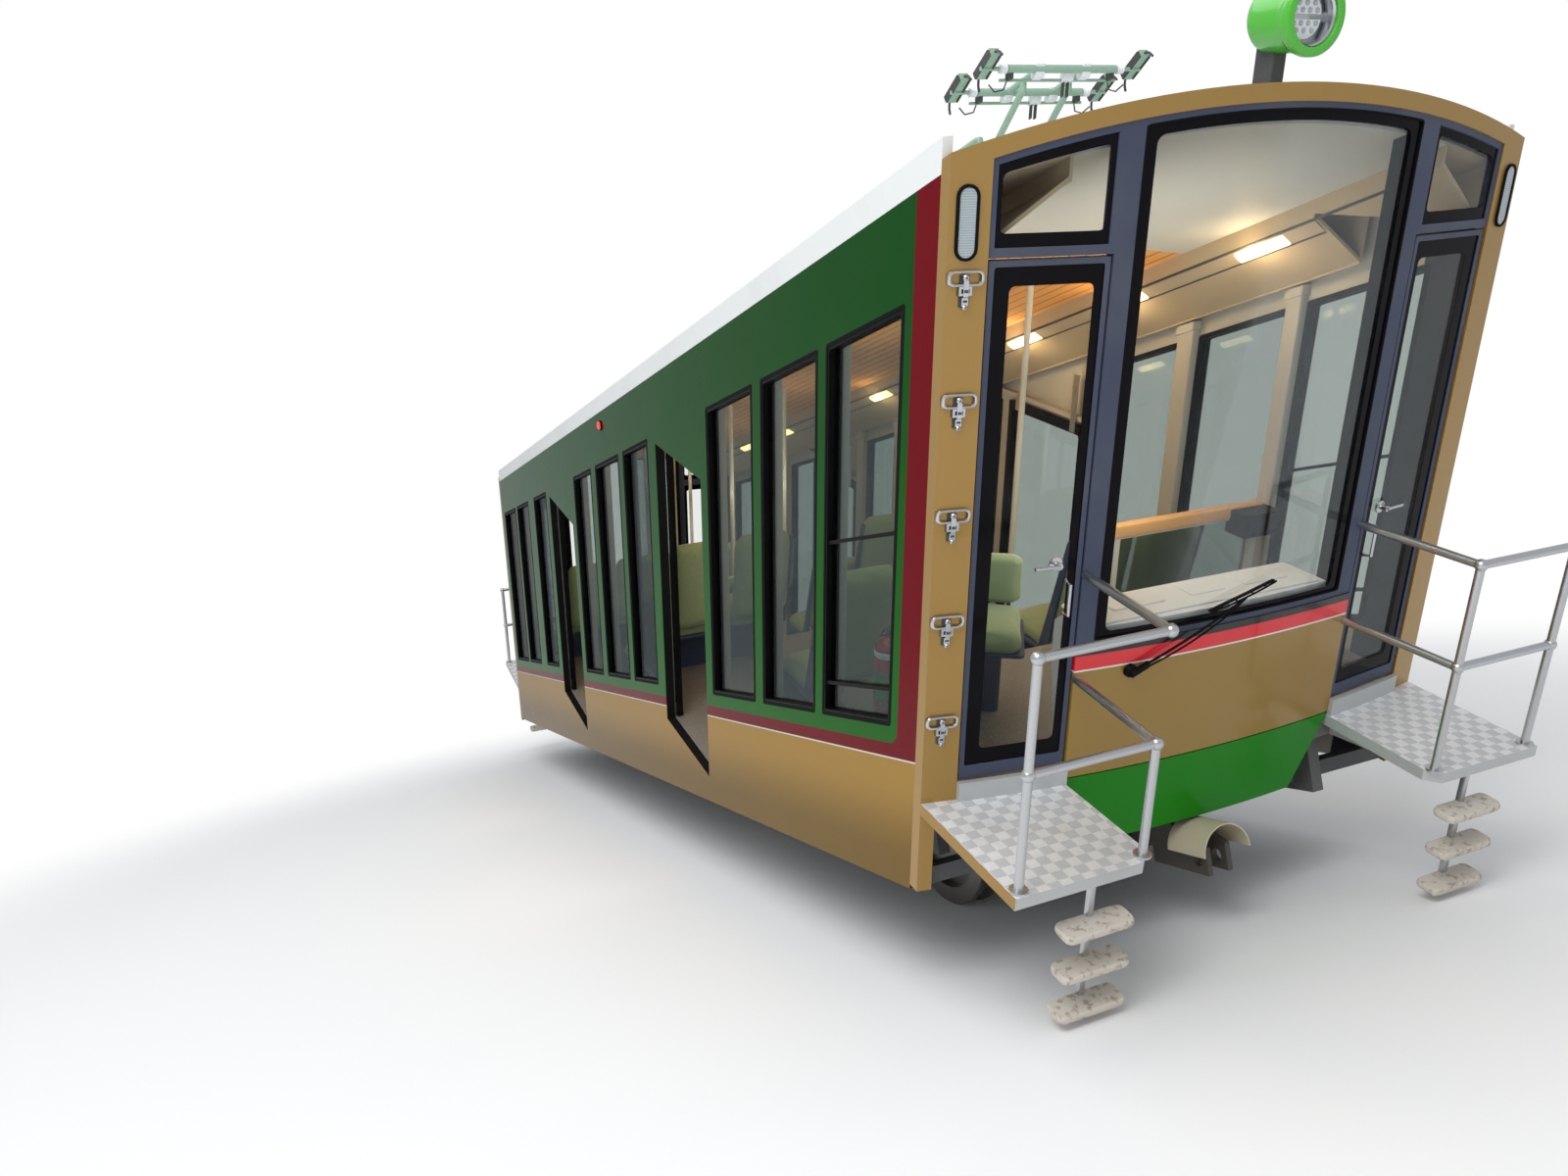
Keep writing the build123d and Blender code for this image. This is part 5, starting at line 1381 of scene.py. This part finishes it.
# %% [markdown]
# ## Wipers
#
# A boss below the glass carries two thin parallel arms to a blade. The arms and the blade follow the
# bowed face, so each is a strip of small sections placed behind the face's own curve.

# %% Boss, arms and blade
boss_across, boss_rise, tip_across, tip_rise = -0.454, 0.422, 0.060, 0.655
for name, end in ends.items():
    place = bowed(end)
    share = np.linspace(0, 1, 13)
    out = directions["level"] * end
    rod = []
    for shift, lift, radius in ((0.0, 0.0, 0.0058), (0.010, -0.024, 0.0042)):
        across = boss_across + (tip_across - boss_across) * share
        rise = boss_rise + (tip_rise - boss_rise) * share + lift * np.sin(np.pi * share) ** 0.5
        rod.append(tube(place(across, rise, -0.022 - 0.010 * np.sin(np.pi * share)), radius, 8))
    turn = math.radians(14.0)
    along = np.linspace(-0.165, 0.165, 15)
    blade_across, blade_rise = tip_across + along * math.cos(turn), tip_rise + along * math.sin(turn)
    spine = tube(place(blade_across, blade_rise, -0.012 - 0.008 * (1 - (along / 0.165) ** 2)), 0.0042, 8)
    for at in (-0.11, -0.04, 0.04, 0.11):
        spot_across, spot_rise = tip_across + at * math.cos(turn), tip_rise + at * math.sin(turn)
        clip = place(np.full(3, spot_across), np.full(3, spot_rise), np.array((-0.018, -0.008, -0.001)))
        spine += tube(clip, 0.004, 6)
    lip = np.stack([place(blade_across, blade_rise + side, depth) for side, depth in (
        (-0.0035, -0.004), (0.0035, -0.004), (0.0012, 0.0125), (-0.0012, 0.0125))], axis=1)
    centre = place(boss_across, boss_rise, 0.0)
    boss = turned([(0.028, -0.001), (0.028, 0.012), (0.023, 0.020), (0.016, 0.024), (0.016, 0.032),
                   (0.012, 0.036)], centre, out, 24)
    root = bar(place(boss_across + 0.030, boss_rise + 0.008, -0.024), directions["across"] * 0.040 * end
               + directions["upright"] * 0.016, directions["upright"] * 0.012, out * 0.009, 0.004)
    piece("wiper_arms_" + name, sum(rod) + root, black_trim, stands_for=("wipers",))
    piece("wiper_blade_" + name, spine + skin(lip), soft_rubber)
    piece("wiper_boss_" + name, boss, black_trim, bevel=0.001)
print("wipers", len(ends))


# %% [markdown]
# ## Ladders under the decks
#
# The treads are thick, pale and worn round at their edges, on a narrow spine. Each is a rounded loop in
# plan carried through five heights that swell by a cosine, so the edge is softly rounded.

# %% Treads and spines
treads = {"uphill": 3, "downhill": 5}
first_tread, tread_pitch = -0.240, 0.178
for name, end in ends.items():
    for side_name, hand in (("left", -1), ("right", 1)):
        steps, brackets = [], []
        for number in range(treads[name]):
            top = first_tread - number * tread_pitch
            swell = np.radians((-70, -35, 0, 35, 70))
            loops = []
            for angle in swell:
                inset = 0.006 * (1 - math.cos(angle))
                plan = rounded(((0.797 + inset, 0.602 + inset), (1.093 - inset, 0.602 + inset),
                                (1.093 - inset, 0.708 - inset), (0.797 + inset, 0.708 - inset)), 0.030, 6)
                loops.append(on_end(
                    end, hand * plan[:, 0], plan[:, 1], top - 0.017 + 0.0175 * math.sin(angle)))
            steps.append(skin(np.stack(loops)))
            for across in (0.925, 0.965):
                corner = rounded(((0.607, top - 0.050), (0.640, top - 0.050), (0.690, top - 0.032),
                                  (0.607, top - 0.032)), 0.004)
                brackets.append(slab(*(on_end(end, hand * (across + shift), corner[:, 0], corner[:, 1])
                                       for shift in (-0.002, 0.002))))
        bottom = first_tread - (treads[name] - 1) * tread_pitch - 0.034
        plan = rounded(((0.933, 0.602), (0.957, 0.602), (0.957, 0.629), (0.933, 0.629)), 0.005)
        spine = slab(*(on_end(end, hand * plan[:, 0], plan[:, 1], rise) for rise in (bottom, -0.078)))
        piece("ladder_treads_%s_%s" % (name, side_name), sum(steps), weathered_tread,
              stands_for=("deck_ladders",))
        piece("ladder_spine_%s_%s" % (name, side_name), spine + sum(brackets), rail_steel)
print("treads", 2 * sum(treads.values()))


# %% [markdown]
# ## Collector on the roof
#
# The head is two pairs of thin bars with a dark shoe at each end, joined by clamps, with small pale
# insulators. Its parts follow the same roof measurements as the solids: station, height and across.

# %% Shoes, clamps and bars
head_rise, hinge_rise = crown + 0.624, crown + 0.120
shoe_along = np.array((1.0, 0.0, 0.35)) / math.hypot(1.0, 0.35)
shoe_up = np.array((-0.35, 0.0, 1.0)) / math.hypot(1.0, 0.35)
dark, pale, light = [], [], []
for station in (-1.370, -1.620):
    light.append(tube(on_flank(station - 0.030, head_rise - 0.034, np.linspace(-0.30, 0.30, 4)), 0.007, 8))
    for hand in (-1, 1):
        centre = on_flank(station, head_rise + 0.018, hand * 0.385)
        for beside in (-0.0265, 0.0265):
            dark.append(bar(centre - shoe_up * 0.004 + directions["across"] * beside, shoe_along * 0.070,
                            shoe_up * 0.017, directions["across"] * 0.003, 0.006))
        for ahead in (-1, 1):
            horn = centre + np.multiply.outer(np.array((0.068, 0.085, 0.100, 0.108)) * ahead, shoe_along) \
                + np.multiply.outer(np.array((-0.002, -0.008, -0.026, -0.050)), shoe_up)
            dark.append(tube(horn, 0.0055, 8))
        pale.append(turned([(0.012, -0.020), (0.021, -0.016), (0.013, -0.010), (0.021, -0.002),
                            (0.013, 0.004), (0.021, 0.012), (0.012, 0.018)],
                           on_flank(station, head_rise, hand * 0.303), directions["across"], 16))
        dark.append(bar(on_flank(station - 0.012, head_rise - 0.016, hand * 0.262),
                        directions["across"] * 0.010, directions["rails"] * 0.020,
                        directions["upright"] * 0.024, 0.003))
        pale.append(bar(on_flank(station - 0.010, head_rise - 0.010, hand * 0.120),
                        directions["across"] * 0.022, directions["rails"] * 0.024,
                        directions["upright"] * 0.026, 0.004))
        link = on_flank(station + np.array((-0.030, -0.034, -0.036, -0.030)),
                        head_rise + np.array((-0.034, -0.070, -0.078, -0.052)),
                        hand * np.array((0.262, 0.275, 0.318, 0.352)))
        dark.append(tube(link, 0.0035, 6))
    for across in (0.028, 0.052):
        dark.append(bar(on_flank(station - 0.030, head_rise - 0.066, across), directions["across"] * 0.004,
                        directions["rails"] * 0.009, directions["upright"] * 0.036, 0.002))
    pale.append(bar(on_flank(station - 0.022, head_rise - 0.022, 0.040), directions["across"] * 0.026,
                    directions["rails"] * 0.018, directions["upright"] * 0.022, 0.004))
for hand in (-1, 1):
    foot = on_flank(-2.120, hinge_rise, hand * 0.172)
    pale.append(turned([(0.020, -0.010), (0.026, -0.006), (0.026, 0.002), (0.018, 0.006)], foot,
                       directions["across"] * hand, 20))
    for station in (-2.24, -1.90):
        for across in (0.06, 0.21):
            pale.append(turned([(0.014, -0.002), (0.014, 0.010), (0.007, 0.011), (0.007, 0.018)],
                               on_flank(station, crown + 0.040, hand * across), directions["upright"], 6))
piece("collector_shoes", sum(dark), box_black, "collector_arm")
piece("collector_clamps", sum(pale[:-10]), desk_white, "collector_arm", bevel=0.001)
piece("collector_rods", sum(light), collector_green, "collector_arm")
piece("collector_base_bolts", sum(pale[-10:]), rail_steel)
print("collector details", len(dark) + len(pale) + len(light))


# %% Hoop and aerial on the roof's uphill end
hoop = on_flank(np.array((-0.35, -0.35, -0.345, -0.325, -0.075, -0.055, -0.05, -0.05)),
                np.array((2.355, 2.384, 2.396, 2.402, 2.402, 2.396, 2.384, 2.355)), -1.165)
piece("roof_hoop", tube(hoop, 0.010, 12), collector_green)
plate = rounded(((-0.335, 2.352), (-0.065, 2.352), (-0.065, 2.392), (-0.335, 2.392)), 0.006)
piece("roof_hoop_plate", plate_on(on_flank, plate, -1.167, -1.163), roof_white)
fin = rounded(((-0.185, crown - 0.012), (-0.095, crown - 0.012), (-0.130, crown + 0.058),
               (-0.150, crown + 0.058)), 0.008)
piece("roof_aerial", slab(*(on_flank(fin[:, 0], fin[:, 1], -0.075 + side) for side in (-0.006, 0.006)))
      + turned([(0.040, -0.006), (0.040, 0.004), (0.030, 0.008)], on_flank(-0.140, crown - 0.004, -0.075),
               directions["upright"], 24), box_black)
print("roof fittings 3")


# %% [markdown]
# ## Cabin fittings
#
# Behind the windscreen are a white desk, a glass screen with a wooden rail and a black display box, and
# pale grab poles. The fittings below add what the plain solids lack: edges, feet, clamps and panels.

# %% Desk, display box, screen posts and pole fittings
for name, end in ends.items():
    loop = rounded(((-0.590, -0.185), (0.590, -0.185), (0.590, 0.040), (-0.590, 0.040)), 0.03)
    piece("desk_top_" + name, slab(*(on_end(end, loop[:, 0], loop[:, 1], rise) for rise in (0.6005, 0.606))),
          desk_white, bevel=0.002)
    keys = []
    for across, width in ((-0.30, 0.13), (0.05, 0.09), (0.36, 0.12)):
        cover = rounded(((across - width, -0.170), (across + width, -0.170), (across + width, -0.040),
                         (across - width, -0.040)), 0.012)
        keys.append(slab(*(on_end(end, cover[:, 0], cover[:, 1], rise) for rise in (0.605, 0.610))))
    piece("desk_covers_" + name, sum(keys), desk_white, bevel=0.002)
display = bar(in_level(-0.850, 0.515, 1.062), directions["across"] * 0.112, directions["level"] * 0.070,
              directions["upright"] * 0.060, 0.008)
piece("display_box", display, black_trim, bevel=0.002)
face = bar(in_level(-0.7785, 0.526, 1.062), directions["across"] * 0.094, directions["upright"] * 0.044,
           directions["level"] * 0.0015, 0.004)
piece("display_face", face, black_glass_border)
rail = rounded(((-0.948, 0.522), (-0.892, 0.522), (-0.892, 0.586), (-0.948, 0.586)), 0.010)
piece("screen_rail", plate_on(in_level, rail, 0.236, 1.154), rail_wood)
posts = sum(
    tube(in_level(-0.920, np.array((0.0, 0.50)), across), 0.018)
    + turned([(0.034, 0.0), (0.034, 0.006), (0.022, 0.010)], in_level(-0.920, 0.0, across),
             directions["upright"], 20)
    for across in (0.262, 1.128))
piece("screen_posts", posts, rail_steel)
print("cabin fittings", 6)


# %% Extinguisher by the first window
foot = in_level(-0.620, 0.0, -1.120)
upright = directions["upright"]
bottle = turned([(0.010, 0.0), (0.048, 0.0), (0.056, 0.010), (0.058, 0.024), (0.061, 0.030), (0.061, 0.322),
                 (0.056, 0.346), (0.044, 0.366), (0.026, 0.378), (0.021, 0.384), (0.012, 0.386)],
                foot, upright, 32)
collars = turned([(0.0615, 0.296), (0.0628, 0.298), (0.0628, 0.322), (0.0615, 0.324)], foot, upright, 32)
label = turned([(0.0612, 0.096), (0.0618, 0.098), (0.0618, 0.226), (0.0612, 0.228)], foot, upright, 32)
neck = turned([(0.016, 0.382), (0.019, 0.386), (0.019, 0.404), (0.013, 0.408), (0.013, 0.420),
               (0.006, 0.423)], foot, upright, 20)
level, beside = directions["level"], directions["across"]
neck += bar(foot + upright * 0.412 + beside * 0.022, beside * 0.036, upright * 0.004, level * 0.009, 0.003)
neck += bar(foot + upright * 0.423 + beside * 0.020, beside * 0.034 + upright * 0.004, upright * 0.003,
            level * 0.008, 0.002)
turn = np.linspace(0, 2 * np.pi, 17)
pin_ring = foot + upright * 0.412 - beside * 0.030 + np.multiply.outer(0.013 * np.cos(turn), beside) \
    + np.multiply.outer(0.013 * np.sin(turn), upright)
hose = foot + np.multiply.outer(np.array((-0.012, -0.040, -0.066, -0.072, -0.071, -0.070)), level) \
    + np.multiply.outer(np.array((0.396, 0.394, 0.360, 0.300, 0.200, 0.140)), upright)
piece("extinguisher_bottle", bottle, extinguisher_red, stands_for=("extinguisher",))
piece("extinguisher_collar", collars, desk_white)
piece("extinguisher_label", label, skirt_green)
piece("extinguisher_valve", neck, box_black, bevel=0.001)
piece("extinguisher_pin", tube(pin_ring, 0.0022, 6), gold_pin)
piece("extinguisher_hose", tube(hose, 0.007, 10), soft_rubber)
print("extinguisher foot", foot.round(3))


# %% [markdown]
# ## Fittings under the uphill end
#
# Below the skirt the photograph shows a pale bent bracket, a dark plate and a strut. They are folded
# plates: one outline in the car's own directions, carried a little way across.

# %% Bracket, plate and strut
def folded(outline, across, width, end=1):
    """A plate whose outline is given as out and rise, carried across by its width."""
    outline = np.asarray(outline, float)
    return slab(*(on_end(end, across + shift, outline[:, 0], outline[:, 1])
                  for shift in (-width / 2, width / 2)))


low_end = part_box("skirt_uphill")[0][2]
bracket = folded([(-0.25, -0.300), (-0.06, -0.300), (-0.02, -0.345), (-0.02, -0.455), (-0.026, -0.455),
                  (-0.026, -0.348), (-0.064, -0.306), (-0.25, -0.306)], 0.52, 0.17)
plate = folded([(-0.25, -0.296), (-0.10, -0.296), (-0.06, -0.325), (-0.06, -0.385), (-0.068, -0.385),
                (-0.068, -0.330), (-0.103, -0.304), (-0.25, -0.304)], 0.30, 0.20)
strut = tube(on_end(1, np.array((0.40, 0.41, 0.42)), np.array((-0.13, -0.17, -0.21)),
                    np.array((-0.300, -0.400, -0.500))), 0.014)
piece("end_bracket", bracket, rail_steel, bevel=0.0015)
piece("end_plate", plate, frame_grey, bevel=0.0015)
piece("end_strut", strut, box_black)
print("lowest point of the skirt", round(low_end, 3))
